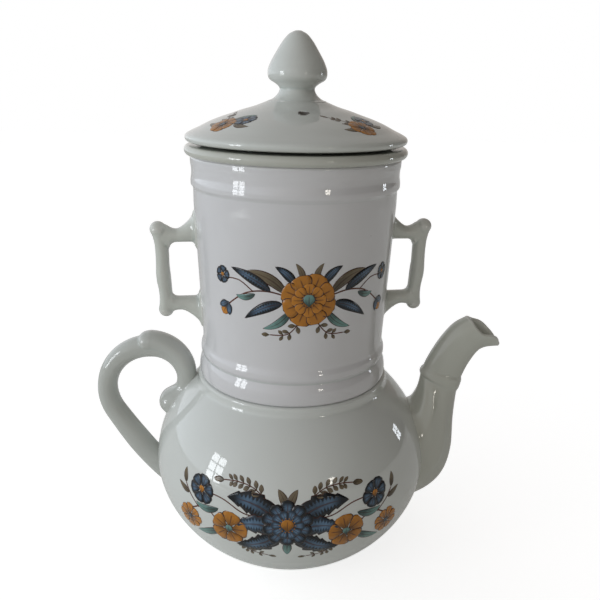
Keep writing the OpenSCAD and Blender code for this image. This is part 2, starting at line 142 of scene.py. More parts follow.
class LidSizes(bpy.types.PropertyGroup):
    """Sizes of the lid and its knob"""

    radius: length("Lid radius", "Outer radius of the lid", 58.4)
    dome_h: length("Dome height", "Height of the dome above the seat", 23)
    wall: length("Lid wall", "Thickness of the lid's shell", 4.2)
    vent_d: length("Vent", "Diameter of the steam vent", 3)
    vent_out: length("Vent place", "Distance of the vent from the axis", 28.5)
    stem_r: length("Stem radius", "Radius of the knob's stem", 9.2)
    knob_r: length("Knob radius", "Largest radius of the knob", 15.4)
    knob_h: length("Knob height", "Height of the knob with its stem", 33.2)


class Finish(bpy.types.PropertyGroup):
    """Colours of the glaze and the enamels"""

    glaze: colour("Glaze", "Colour of the glazed porcelain", (0.665, 0.69, 0.665))
    filter_glaze: colour("Filter glaze", "Colour of the filter's glaze", (0.68, 0.678, 0.692))
    pool: colour("Pooled glaze", "Colour of the glaze where it lies thick", (0.45, 0.50, 0.47))
    thin: colour("Thin glaze", "Colour of the glaze on edges", (0.74, 0.73, 0.70))
    biscuit: colour("Biscuit", "Colour of the bare porcelain under the foot", (0.62, 0.58, 0.52))
    ochre: colour("Ochre", "Ochre enamel", (0.44, 0.175, 0.02))
    blue: colour("Blue", "Dark blue enamel", (0.045, 0.078, 0.12))
    teal: colour("Teal", "Teal enamel", (0.13, 0.24, 0.22))
    sage: colour("Sage", "Sage leaf enamel", (0.165, 0.13, 0.08))
    line: colour("Line", "Brown outline enamel", (0.055, 0.019, 0.012))


class Studio(bpy.types.PropertyGroup):
    """Camera and light"""

    lens: FloatProperty(name="Lens", description="Focal length", default=39.0, min=10.0, subtype="NONE")
    pitch: angle("Pitch", "How far the camera looks down", 18.74)
    roll: angle("Roll", "Small roll of the camera", 1.26)
    window_power: FloatProperty(name="Window power", description="Power of the main window light",
                                default=2.2, min=0.0, subtype="POWER", unit="POWER")
    sky: FloatProperty(name="Room light", description="Strength of the even room light", default=0.5, min=0.0)


GROUPS = (PotSizes, FilterSizes, LidSizes, Finish, Studio)


class CoffeePotSettings(bpy.types.PropertyGroup):
    """All settings of the coffee pot"""

    pot: PointerProperty(type=PotSizes, name="Pot")
    filter: PointerProperty(type=FilterSizes, name="Filter")
    lid: PointerProperty(type=LidSizes, name="Lid")
    finish: PointerProperty(type=Finish, name="Finish")
    studio: PointerProperty(type=Studio, name="Studio")
    turns: IntProperty(name="Steps round", description="Steps of a turned piece", default=192, min=48,
                       max=360)


class InMillimetres:
    """Reads a group's lengths in millimetres, and its angles in degrees."""

    def __init__(self, group):
        for key, prop in group.bl_rna.properties.items():
            if prop.type == "FLOAT" and not prop.is_array:
                value = getattr(group, key)
                if prop.unit == "LENGTH":
                    value /= MM
                elif prop.unit == "ROTATION":
                    value = degrees(value)
                setattr(self, key, value)


# ---------- curves, in millimetres ----------


def glide(a, b, c, d, t):
    """Catmull-Rom value between b and c."""
    bend, twist = 2 * a - 5 * b + 4 * c - d, 3 * b - a - 3 * c + d
    return 0.5 * (2 * b + (c - a) * t + bend * t * t + twist * t ** 3)


def shares(steps, first=0):
    """Even steps up to 1."""
    return [k / steps for k in range(first, steps + 1)]


def around(x, y, r, a):
    """The point at distance r and angle a, in degrees, from x and y."""
    return x + r * cos(radians(a)), y + r * sin(radians(a))


def bowed(a, b, c, t):
    """Point or value on a curve from a to c that is pulled towards b."""
    return a * (1 - t) ** 2 + b * 2 * t * (1 - t) + c * t * t


def smooth(knots, steps):
    """Smooth curve through knots of any length, both ends included."""
    last = len(knots) - 1
    made = []
    for i in range(last):
        four = knots[max(i - 1, 0)], knots[i], knots[i + 1], knots[min(i + 2, last)]
        made += [tuple(glide(*values, t) for values in zip(*four)) for t in shares(steps)[:-1]]
    return made + [tuple(knots[-1])]


def clamp(t, high=1.0):
    """t, kept between 0 and a high limit."""
    return min(high, max(0.0, t))


def bump(d, w):
    """Soft bump of height 1 and half width w."""
    return exp(-abs(d / w) ** 3)


def blend(a, b, t):
    """From a to b as t goes from 0 to 1."""
    return a + (b - a) * clamp(t)


def ease(t):
    """Smooth step from 0 to 1."""
    t = clamp(t)
    return t * t * (3 - 2 * t)


def along(points, t):
    """Value of a table of (place, value) at t."""
    for (x0, y0), (x1, y1) in zip(points, points[1:]):
        if t <= x1:
            return blend(y0, y1, (t - x0) / (x1 - x0))
    return points[-1][1]


def fillet(d, radius):
    """Height of a round fillet at distance d from the wall it leans on."""
    return radius - sqrt(radius * radius - (radius - clamp(d, radius)) ** 2)


def round_corner(before, corner, after, radius):
    """Points of a rounded corner between two neighbours."""
    c = Vector(corner)
    start, end = (c + (Vector(side) - c).normalized() * radius for side in (before, after))
    return [tuple(bowed(start, c, end, t)) for t in shares(5)]


def rounded(profile):
    """A profile from (r, z) points, each with an optional rounding as a third number."""
    made = []
    for before, point, after in zip(profile[-1:] + profile, profile, profile[1:] + profile[:1]):
        if len(point) == 3:
            made += round_corner(before[:2], point[:2], after[:2], point[2])
        else:
            made.append(point)
    return made


# ---------- mesh building ----------


def at_mm(x, y, z):
    """A move in millimetres."""
    return Matrix.Translation((x * MM, y * MM, z * MM))


def linked(name, data):
    """A new object in the scene."""
    made = bpy.data.objects.new(name, data)
    bpy.context.scene.collection.objects.link(made)
    return made


def mesh_of(name, bm):
    """A mesh from a bmesh, which is freed."""
    mesh = bpy.data.meshes.new(name)
    bm.to_mesh(mesh)
    bm.free()
    return mesh


def finish_shading(mesh, crisp=None):
    """Smooth shading, with edges sharper than an angle in degrees kept crisp."""
    mesh.polygons.foreach_set("use_smooth", [True] * len(mesh.polygons))
    if crisp is not None:
        mesh.set_sharp_from_angle(angle=radians(crisp))
    mesh.update()


def new_piece(name, bm, body, materials, node=None, crisp=None):
    """Turns a bmesh into a piece that rides on a body and may stand for a node of the frame."""
    mesh = mesh_of(name, bm)
    piece = linked(name, mesh)
    for material in materials:
        mesh.materials.append(material)
    finish_shading(mesh, crisp)
    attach(piece, body)
    if node:
        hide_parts(node)
    return piece


def turned(bm, profile, steps, closed=True):
    """Spins a profile of (r, z) in millimetres round the axis."""
    verts = [bm.verts.new((r * MM, 0.0, z * MM)) for r, z in profile]
    after = verts[1:] + verts[:1] if closed else verts[1:]
    edges = [bm.edges.new(pair) for pair in zip(verts, after)]
    bmesh.ops.spin(bm, geom=verts + edges, cent=(0, 0, 0), axis=(0, 0, 1), dvec=(0, 0, 0), angle=2 * pi,
                   steps=steps, use_merge=True, use_duplicate=False)
    if closed:
        bmesh.ops.remove_doubles(bm, verts=bm.verts[:], dist=1e-7)
        bmesh.ops.dissolve_degenerate(bm, dist=1e-8, edges=bm.edges[:])
        bmesh.ops.recalc_face_normals(bm, faces=bm.faces[:])


def circle(bm, count, radius, matrix=Matrix()):
    """The vertices and the edges of a circle."""
    verts = bmesh.ops.create_circle(bm, cap_ends=False, segments=count, radius=radius, matrix=matrix)["verts"]
    return verts, list({edge for v in verts for edge in v.link_edges})


def ring(bm, count, place):
    """A closed ring of edges whose points place() puts, given the angle round it."""
    verts, edges = circle(bm, count, 1.0)
    for v in verts:
        v.co = place(atan2(v.co.y, v.co.x))
    return edges


def bridged(bm, rings):
    """Bridges neighbouring rings."""
    for a, b in zip(rings, rings[1:]):
        bmesh.ops.bridge_loops(bm, edges=a + b)


def squircle(value):
    """A sine or cosine for a section that is fuller than an ellipse."""
    return copysign(abs(value) ** (2 / FULL), value)


def swept(bm, stations):
    """A closed solid through stations: centre x and z, direction, half thickness and half depth."""
    rings = []
    for x, z, direction, half, depth in stations:
        sin_d, cos_d = sin(radians(direction)), cos(radians(direction))

        def place(a):
            u, v = half * squircle(cos(a)), depth * squircle(sin(a))
            return Vector(((x - u * sin_d) * MM, v * MM, (z + u * cos_d) * MM))

        rings.append(ring(bm, 32, place))
    bridged(bm, rings)
    bmesh.ops.edgeloop_fill(bm, edges=rings[0])
    bmesh.ops.edgeloop_fill(bm, edges=rings[-1])


def baked(piece):
    """Replaces a piece's mesh by the result of its modifiers."""
    depsgraph = bpy.context.evaluated_depsgraph_get()
    depsgraph.update()
    mesh = bpy.data.meshes.new_from_object(piece.evaluated_get(depsgraph))
    piece.modifiers.clear()
    old = piece.data
    piece.data = mesh
    bpy.data.meshes.remove(old)
    return mesh


def melted(piece, voxel, passes):
    """Joins a piece's overlapping solids into one skin whose creases are softened like glaze."""
    joint = piece.modifiers.new("melt", "REMESH")
    joint.mode, joint.voxel_size = "VOXEL", voxel * MM
    flow = piece.modifiers.new("flow", "SMOOTH")
    flow.factor, flow.iterations = 0.5, passes
    mesh = baked(piece)
    finish_shading(mesh)
    return mesh


def carved(piece, bm, crisp):
    """Cuts a tool's closed solid out of a piece."""
    mesh = mesh_of("tool", bm)
    tool = linked("tool", mesh)
    cut = piece.modifiers.new("cut", "BOOLEAN")
    cut.operation, cut.solver, cut.object = "DIFFERENCE", "EXACT", tool
    made = baked(piece)
    bpy.data.objects.remove(tool)
    bpy.data.meshes.remove(mesh)
    finish_shading(made, crisp)


def read(items, key, width, kind=np.float64):
    """A table of a value of every vertex or edge."""
    values = np.empty(len(items) * width, dtype=kind)
    items.foreach_get(key, values)
    return values.reshape(-1, width)


def mark_pools(mesh, reach=3):
    """Stores where the glaze runs thick (above 0, in hollows) and thin (below 0, on edges)."""
    count = len(mesh.vertices)
    points, normals = read(mesh.vertices, "co", 3), read(mesh.vertices, "normal", 3)
    pairs = read(mesh.edges, "vertices", 2, np.int32)
    a, b = pairs[:, 0], pairs[:, 1]
    away = points[b] - points[a]
    size = np.maximum(np.linalg.norm(away, axis=1), 1e-6)
    total, weight, near = np.zeros(count), np.full(count, 1e-9), np.full(count, 1e-9)
    for end, way in ((a, 1), (b, -1)):
        np.add.at(total, end, way * np.einsum("ij,ij->i", away, normals[end]) / size)
        np.add.at(weight, end, size)
        np.add.at(near, end, 1.0)
    value = total / weight
    for _ in range(reach):
        spread = np.zeros(count)
        np.add.at(spread, a, value[b])
        np.add.at(spread, b, value[a])
        value = 0.4 * value + 0.6 * spread / near
    thickest = 180.0  # curvature in 1/m
    attribute = mesh.attributes.new("glaze_depth", "FLOAT", "POINT")
    attribute.data.foreach_set("value", np.clip(value / thickest, -1.0, 1.0).astype(np.float32))


def seat_on(mesh, radius_at, flare, reach):
    """Spreads a joined piece where it meets a turned surface, and keeps its root inside the wall."""
    depth = 2.0

    def outside(point):
        return hypot(point.x, point.y) / MM - radius_at(point.z / MM)

    mesh.update()
    places = []
    for at, normal in [(v.co.copy(), v.normal.copy()) for v in mesh.vertices]:
        gap = outside(at)
        if gap < reach:
            at += normal * (flare * (1 - max(gap, 0.0) / reach) ** 2.4 * MM)
            gap = outside(at)
        if gap < -depth:
            keep = (radius_at(at.z / MM) - depth) * MM / max(hypot(at.x, at.y), 1e-6)
            at.xy *= keep
        places.extend(at)
    mesh.vertices.foreach_set("co", places)
    mesh.update()


# ---------- shapes of the turned pieces, in millimetres ----------


class Shapes:
    """Every outline of the pot, from the settings."""

    def __init__(self, settings):
        self.pot = InMillimetres(settings.pot)
        self.filter = InMillimetres(settings.filter)
        self.lid = InMillimetres(settings.lid)
        self.filter_top = self.pot.rim_z + self.filter.height
        self.flange_top = self.filter_top + self.filter.flange_t
        self.bore_r = self.filter.wall_top_r - self.filter.wall
        self.cup_r = self.bore_r - CUP_PLAY
        self.cup_in_r = self.cup_r - self.filter.cup_wall
        self.seat_r = self.lid.stem_r + 3.6
        self.knob_z = self.flange_top + self.lid.dome_h
        self.steps = settings.turns

    def belly_at(self, z, grow=0.0):
        """Radius of the belly at height z."""
        p = self.pot
        power, reach = (LOWER_ROUND, p.belly_drop) if z < p.belly_z else (UPPER_ROUND, p.belly_rise)
        inside = max(0.0, 1 - (abs(z - p.belly_z) / (reach + grow)) ** power)
        return (p.belly_r + grow) * inside ** (1 / power)

    def belly_height(self, r, grow=0.0):
        """Height on the upper half at which the belly has radius r."""
        p = self.pot
        inside = 1 - (r / (p.belly_r + grow)) ** UPPER_ROUND
        return p.belly_z + (p.belly_rise + grow) * inside ** (1 / UPPER_ROUND)

    def belly_curve(self, z0, z1, grow=0.0, steps=56):
        """Points of the belly from z0 to z1, closer together at both ends."""
        heights = [z0 + (z1 - z0) * (1 - cos(pi * t)) / 2 for t in shares(steps)]
        return [(self.belly_at(z, grow), z) for z in heights]

    def pot_outer(self):
        """Outer outline of the pot from the foot ring to the rim."""
        p = self.pot
        top = self.belly_height(p.collar_r + 2.2)
        foot = [(p.foot_r + 0.1, p.foot_hollow - 0.6), (p.foot_r + 0.6, p.foot_hollow)]
        shoulder = smooth([
            (p.collar_r + 2.2, top), (p.collar_r + 0.7, top + 1.5), (p.collar_r + 0.1, top + 3.4),
            (p.collar_r, p.rim_z - 2.4)], 4)
        return foot + self.belly_curve(p.foot_hollow + 1.6, top) + shoulder[1:]

    def filter_at(self, h):
        """Outer radius of the filter at height h above its seat."""
        f = self.filter
        start, end = 24.0, f.height - 25.0
        low_band = 2.35 * max(0.0, 1 - ((h - 3.6) / 8.6) ** 2) ** 0.9
        bead = 1.3 * bump(h - 15.2, 3.6 if h > 15.2 else 2.2)
        frieze = (1.25 - 0.5 * bump(h - (f.height - 8.2), 3.4)) * ease((h - (f.height - 17)) / 2.4)
        return blend(f.wall_low_r, f.wall_top_r, (h - start) / (end - start)) + low_band + bead + frieze

    def filter_outer(self):
        """Outer outline of the filter above its seat, with more points at its mouldings."""
        f, z = self.filter, self.pot.rim_z
        fine, coarse = 0.5, 2.4
        heights = [1.6 + fine * i for i in range(46)]
        heights += [heights[-1] + coarse * i for i in range(1, 31)]
        while heights[-1] < f.height - 2.2:
            heights.append(heights[-1] + fine)
        return [(self.filter_at(h), z + h) for h in heights if h < f.height - 1.6]

    def lid_outer(self):
        """Upper outline of the lid from its rim to the knob's seat, as radius and height above the seat."""
        r, h, seat = self.lid.radius, self.lid.dome_h, self.seat_r
        return smooth([
            (r - 2.4, 1.35), (r - 0.7, 2.1), (r, 3.6), (r - 0.7, 5.2), (r - 3.5, h - 16.2),
            (r - 7, h - 14.6), (r - 12.5, h - 11.8), (r - 18.5, h - 9.4),
            (r - 24.2, h - 7.5), (r - 30, h - 5.5), (r - 36.7, h - 3.5),
            (seat + 4, h - 1.6), (seat, h)], 6)


def shapes(context):
    """The outlines for the scene's settings."""
    return Shapes(context.scene.coffee_pot)


# ---------- materials ----------


class Nodes:
    """Adds nodes to the tree of a material or of the world, and joins them."""

    def __init__(self, owner, empty=False):
        owner.use_nodes = True
        self.tree = owner.node_tree
        if empty:
            self.tree.nodes.clear()

    def put(self, socket, value):
        """Joins a socket to another, or sets its value."""
        if isinstance(value, bpy.types.NodeSocket):
            self.tree.links.new(value, socket)
        else:
            socket.default_value = (*value[:3], 1.0) if socket.type == "RGBA" else value

    def add(self, kind, inputs=(), **settings):
        """A new node, its inputs given by name or number."""
        node = self.tree.nodes.new("ShaderNode" + kind)
        for key, value in settings.items():
            setattr(node, key, value)
        for key, value in dict(inputs).items():
            self.put(node.inputs[key], value)
        return node

    def surface(self, inputs):
        """Sets or joins inputs of the material's own shader."""
        for key, value in inputs.items():
            self.put(self.tree.nodes["Principled BSDF"].inputs[key], value)

    def math(self, operation, *values, clamp=False):
        return self.add("Math", enumerate(values), operation=operation, use_clamp=clamp).outputs[0]

    def times(self, a, b):
        return self.math("MULTIPLY", a, b)

    def between(self, value, low, high):
        """0 below low, 1 above high, smooth in between."""
        return self.add("MapRange", {"Value": value, "From Min": low, "From Max": high},
                        interpolation_type="SMOOTHSTEP").outputs["Result"]

    def ramp(self, value, low, high, first, last):
        """From first to last as a value goes from low to high."""
        return self.add("MapRange", {"Value": value, "From Min": low, "From Max": high, "To Min": first,
                                     "To Max": last}).outputs["Result"]

    def mix(self, amount, a, b):
        """From colour a to colour b."""
        return self.add("Mix", {0: amount, 6: a, 7: b}, data_type="RGBA").outputs[2]

    def place(self):
        return self.add("TexCoord").outputs["Object"]

    def noise(self, scale, detail):
        return self.add("TexNoise", {"Vector": self.place(), "Scale": scale, "Detail": detail}).outputs["Fac"]

    def split(self, vector):
        """The x, y and z of a vector."""
        return self.add("SeparateXYZ", {0: vector}).outputs

    def bumps(self, height, strength, distance):
        return self.add("Bump", {"Height": height, "Strength": strength, "Distance": distance}).outputs[0]


def scaled(tint, k):
    """A lighter or darker tint."""
    return tuple(min(1.0, c * k) for c in tint)


# Each glaze as a share of the pot's own; the darker, warmer shares of spout, handle, ears, spreader and lid
# are painted shade for the dimmer light on those pieces.
GLAZE_SHARES_WITH_PAINTED_SHADE = {
    "pot_glaze": (1.0, 1.0, 1.0),
    "spout_glaze": (0.80, 0.79, 0.73),
    "handle_glaze": (0.77, 0.77, 0.75),
    "filter_glaze": (1.0, 1.0, 1.0),
    "ear_glaze": (0.88, 0.88, 0.84),
    "spreader_glaze": (0.765, 0.75, 0.70),
    "lid_glaze": (0.93, 0.93, 0.92),
}


def glaze(context, name):
    """Glossy glazed porcelain: cloudy tint, thick and thin glaze, kiln specks and a faint ripple; some pieces
    are darkened by painted shade.
    """
    f = context.scene.coffee_pot.finish
    # The piece's share darkens and warms the tint: painted shade.
    tint = [c * k for c, k in zip(f.filter_glaze if name == "filter_glaze" else f.glaze, GLAZE_SHARES_WITH_PAINTED_SHADE[name])]
    material = bpy.data.materials.new(name)
    m = Nodes(material)
    depth = m.add("Attribute", attribute_name="glaze_depth").outputs["Fac"]
    base = m.mix(m.between(m.noise(14.0, 3.0), 0.3, 0.7), scaled(tint, 0.97), scaled(tint, 1.02))
    base = m.mix(m.times(m.between(depth, 0.05, 0.6), 0.75), base, f.pool)
    base = m.mix(m.times(m.between(depth, -0.25, -0.9), 0.5), base, f.thin)
    specks = m.add("TexVoronoi", {"Vector": m.place(), "Scale": 130.0})
    rare = m.add("SeparateColor", {0: specks.outputs["Color"]}).outputs[0]
    dot = m.times(m.between(specks.outputs["Distance"], 0.045, 0.02), m.between(rare, 0.93, 0.95))
    base = m.mix(m.times(dot, 0.5), base, (0.16, 0.13, 0.10))
    bare = m.between(m.split(m.place())[2], 0.0006, 0.0002)
    gloss = m.math("MULTIPLY_ADD", m.between(m.noise(40.0, 4.0), 0.35, 0.75), 0.03, 0.025)
    ripple = m.math("ADD", m.noise(26.0, 1.0), m.times(m.noise(240.0, 2.0), 0.03))
    m.surface({
        "Base Color": m.mix(bare, base, f.biscuit), "Roughness": m.math("ADD", gloss, m.times(bare, 0.6)),
        "IOR": 1.5, "Coat Weight": 0.55, "Coat Roughness": 0.012, "Normal": m.bumps(ripple, 0.5, 0.0009)})
    return material


def porcelain(context, name, bm, body, node, tone, crisp=None):
    """A glazed piece that rides on a body and stands for a node of the frame."""
    material = bpy.data.materials.get(tone) or glaze(context, tone)
    return new_piece(name, bm, body, [material], node, crisp)


def painted_vent_shade(context):
    """Painted shade inside the vent: a dark, mottled brown that stands in for the shadow in the hole."""
    biscuit = context.scene.coffee_pot.finish.biscuit
    material = bpy.data.materials.new("vent_stain")
    m = Nodes(material)
    m.surface({"Base Color": m.mix(m.noise(900.0, 3.0), scaled(biscuit, 0.12), scaled(biscuit, 0.3)),
               "Roughness": 0.7})
    return material


# Each enamel, in the order of a print's materials: colour of the finish, how light and how dark it runs,
# number of veins, where the dark rim and the dark tip start, and how strongly its sides are hatched.
ENAMELS = {
    "enamel_ochre": ("ochre", 1.0, 0.4, 7.0, 0.86, 0.955, 0.0),
    "enamel_amber": ("ochre", 1.15, 0.6, 4.0, 0.82, 0.94, 0.0),
    "enamel_blue": ("blue", 2.0, 0.42, 6.0, 0.9, 0.96, 1.0),
    "enamel_slate": ("blue", 2.7, 0.7, 5.0, 0.86, 0.95, 0.85),
    "enamel_teal": ("teal", 1.2, 0.35, 5.0, 0.80, 0.94, 0.0),
    "enamel_sage": ("sage", 1.0, 0.5, 5.0, 0.78, 0.95, 0.0),
    "enamel_line": ("line", 1.0, 0.8, 0.0, 2.0, 2.0, 0.0),
    "enamel_stem": ("line", 2.3, 1.6, 0.0, 2.0, 2.0, 0.0),
}


def enamel(context, name, tint, light, dark, veins, rim, tip, hatch):
    """Onglaze enamel of a petal or leaf: dark base, light tip, veins, hatched sides and an outline."""
    finish = context.scene.coffee_pot.finish
    light, dark = (scaled(getattr(finish, tint), k) for k in (light, dark))
    material = bpy.data.materials.new(name)
    m = Nodes(material)
    u, v, _ = m.split(m.add("UVMap", uv_map="print").outputs[0])
    side = m.times(m.math("ABSOLUTE", m.math("SUBTRACT", u, 0.5)), 2.0)
    wash = m.noise(420.0, 3.0)
    tone = m.math("ADD", v, m.times(m.math("SUBTRACT", wash, 0.5), 0.5))
    base = m.mix(m.between(tone, 0.08, 0.75), dark, light)
    streak = m.math("SINE", m.times(side, veins * pi))
    fade = m.times(m.between(v, 0.75, 0.15), m.between(streak, 0.5, 0.95))
    base = m.mix(m.times(fade, 0.6), base, scaled(dark, 0.25))
    if hatch:
        strokes = m.times(m.math("SINE", m.times(v, 95.0)), 0.14)
        sides, end = m.between(m.math("ADD", side, strokes), 0.28, 0.62), m.between(v, 0.62, 0.9)
        base = m.mix(m.times(m.math("MAXIMUM", sides, end), hatch), base, scaled(dark, 0.16))
    middle = m.times(m.between(side, 0.10, 0.03), m.between(v, 0.9, 0.7))
    edge = m.math("MAXIMUM", m.between(side, rim, rim + 0.08), m.between(v, tip, tip + 0.03))
    edge = m.math("MAXIMUM", edge, m.times(middle, 0.7))
    m.surface({
        "Base Color": m.mix(edge, base, finish.line), "Roughness": 0.16, "IOR": 1.42,
        "Normal": m.bumps(m.math("ADD", wash, m.times(edge, 0.6)), 0.25, 0.00012)})
    return material


# ---------- the four loose pieces ----------


class PieceOperator:
    """Common settings of the operators that build the pot."""

    bl_options = {"REGISTER", "UNDO"}


class COFFEEPOT_OT_body(PieceOperator, bpy.types.Operator):
    """Build the round belly with its foot ring, collar and neck"""

    bl_idname = "coffeepot.body"
    bl_label = "Pot Body"

    def execute(self, context):
        s = shapes(context)
        p = s.pot
        foot_in, floor_z = p.foot_r - p.foot_w, p.foot_hollow + p.wall
        bm = bmesh.new()
        turned(bm, rounded([
            (foot_in, 0, 0.9), (p.foot_r, 0, 1.0), *s.pot_outer(),
            (p.collar_r, p.rim_z, 1.7), (p.neck_r, p.rim_z, 1.1),
            *s.belly_curve(s.belly_height(p.neck_r, -p.wall), floor_z, -p.wall, 40),
            (0, floor_z), (0, p.foot_hollow), (foot_in - 0.8, p.foot_hollow, 0.7)]), s.steps)
        body = porcelain(context, "pot_belly", bm, "pot", "pot_body", "pot_glaze")
        bore = p.spout_bore_r * MM
        passage = bmesh.new()
        bmesh.ops.create_cone(
            passage, cap_ends=True, segments=40, radius1=bore, radius2=bore, depth=4 * p.wall * MM,
            matrix=at_mm(p.belly_r - p.wall, 0, p.spout_bore_z) @ Matrix.Rotation(pi / 2, 4, "Y"))
        carved(body, passage, TURNED_EDGE)
        mark_pools(body.data)
        return {"FINISHED"}


class COFFEEPOT_OT_spout(PieceOperator, bpy.types.Operator):
    """Build the spout with its ring moulding, channel and pouring lip"""

    bl_idname = "coffeepot.spout"
    bl_label = "Spout"

    def execute(self, context):
        s = shapes(context)
        p = s.pot
        r, z, lip = p.belly_r, p.belly_z, p.lip_z
        out, low = r + p.lip_reach, lip - 23
        root, throat = p.root_w, p.throat_w
        fine, count = 12, 64
        # Inner edge x and z, outer edge x and z, half width.
        path = smooth([
            (r - 22, z + 24, r - 22, z - 29, root * 0.52),
            (r - 13, z + 29, r - 9, z - 30.2, root * 0.5),
            (r - 8.2, z + 33.4, r + 4.5, z - 23.8, root * 0.46),
            (r - 5.6, z + 39, r + 14.1, z - 12.4, root * 0.4),
            (r - 4.3, z + 44.4, r + 18.1, z + 3.5, root * 0.32),
            (r - 3.8, z + 49, r + 17.8, z + 24, root * 0.23),
            (r - 3.6, low + 2.6, r + 18.6, low - 6.4, throat * 0.53),
            (r - 1.4, low + 10, r + 21.4, low + 4, throat * 0.5),
            (r + 2.7, low + 19, r + 24.4, low + 11.3, throat * 0.5),
            (r + 7.5, low + 27.2, r + 28.2, low + 17.6, throat * 0.5),
            (r + 13.2, lip + 11.2, out - 9.3, lip - 3.2, throat * 0.52),
            (r + 19.4, lip + 15.2, out - 1.8, lip - 3.0, throat * 0.54)], fine)
        last = len(path) - 1

        def middle(k):
            ix, iz, ox, oz, _ = path[k]
            return Vector(((ix + ox) / 2, (iz + oz) / 2))

        moulding = middle(6 * fine + 3)

        def section(k, inset=0.0, forward=0.0):
            """Place function of the ring at path point k; only the outer skin has moulding and flutes."""
            ix, iz, ox, oz, half_w = path[k]
            t, reach = k / fine, hypot(ox - ix, oz - iz)
            direction = atan2(oz - iz, ox - ix) + pi / 2
            cx, cz = (ix + ox) / 2, (iz + oz) / 2
            rise = flutes = 0.0
            if inset == 0:
                near = (middle(k) - moulding).length / 3.4
                rise = 1.1 * max(0.0, 1 - near ** 2.6) ** 0.7
                flutes = 0.38 * ease((t - 1.2) / 1.6) * (1 - ease((t - 4.3) / 1.5))
            beak = 0.34 * ease((t - 9.4) / 1.6)
            mouth = ease((t - 9.5) / 1.5)

            def place(a):
                cos_a, sin_a = squircle(cos(a)), squircle(sin(a))
                swell = rise + flutes * cos(10 * a)
                u = (reach / 2 - inset + swell) * cos_a
                v = (half_w - inset + swell) * sin_a * (1 - beak * (0.5 - 0.5 * cos_a) ** 1.5)
                if sin_a < 0:
                    dip = (0.9 * bump(cos_a - 0.3, 0.4) - 2.0 * bump(cos_a + 0.5, 0.35)) * -sin_a
                else:
                    dip = -3.2 * bump(cos_a, 0.62) * sin_a
                lower = ease((-cos_a - 0.15) / 0.6)
                out_by = mouth * (1.3 * lower - dip) + forward * (1 + 0.5 * lower)
                point = Vector((cx - u * sin(direction) + out_by * cos(direction), v,
                                cz + u * cos(direction) + out_by * sin(direction)))
                if inset == 0:
                    gap = hypot(point.x, point.y) - s.belly_at(point.z)
                    spread = 1.1 * (1 - clamp(gap / 6.0)) ** 2.2
                    point += spread * Vector((-cos_a * sin(direction), sin_a, cos_a * cos(direction)))
                r_now, r_min = hypot(point.x, point.y), s.belly_at(point.z) - (0.6 if inset else 1.8)
                point.xy *= max(1.0, r_min / r_now)
                return point * MM

            return place

        def roll(i):
            """Place function of the half round ring i of 7 between the outer and the inner skin."""
            a, lip_r = radians(22.5 * i), p.spout_wall / 2
            return section(last, lip_r * (1 - cos(a)), 0.9 * lip_r * sin(a))

        bm = bmesh.new()
        rings = [ring(bm, count, section(k)) for k in range(fine, last + 1)]
        rings += [ring(bm, count, roll(i)) for i in range(1, 8)]
        rings += [ring(bm, count, section(k, p.spout_wall)) for k in range(last, fine + 2, -3)]
        bridged(bm, rings + rings[:1])
        bmesh.ops.recalc_face_normals(bm, faces=bm.faces[:])
        spout = porcelain(context, "spout", bm, "pot", "pot_spout", "spout_glaze")
        mark_pools(spout.data)
        return {"FINISHED"}


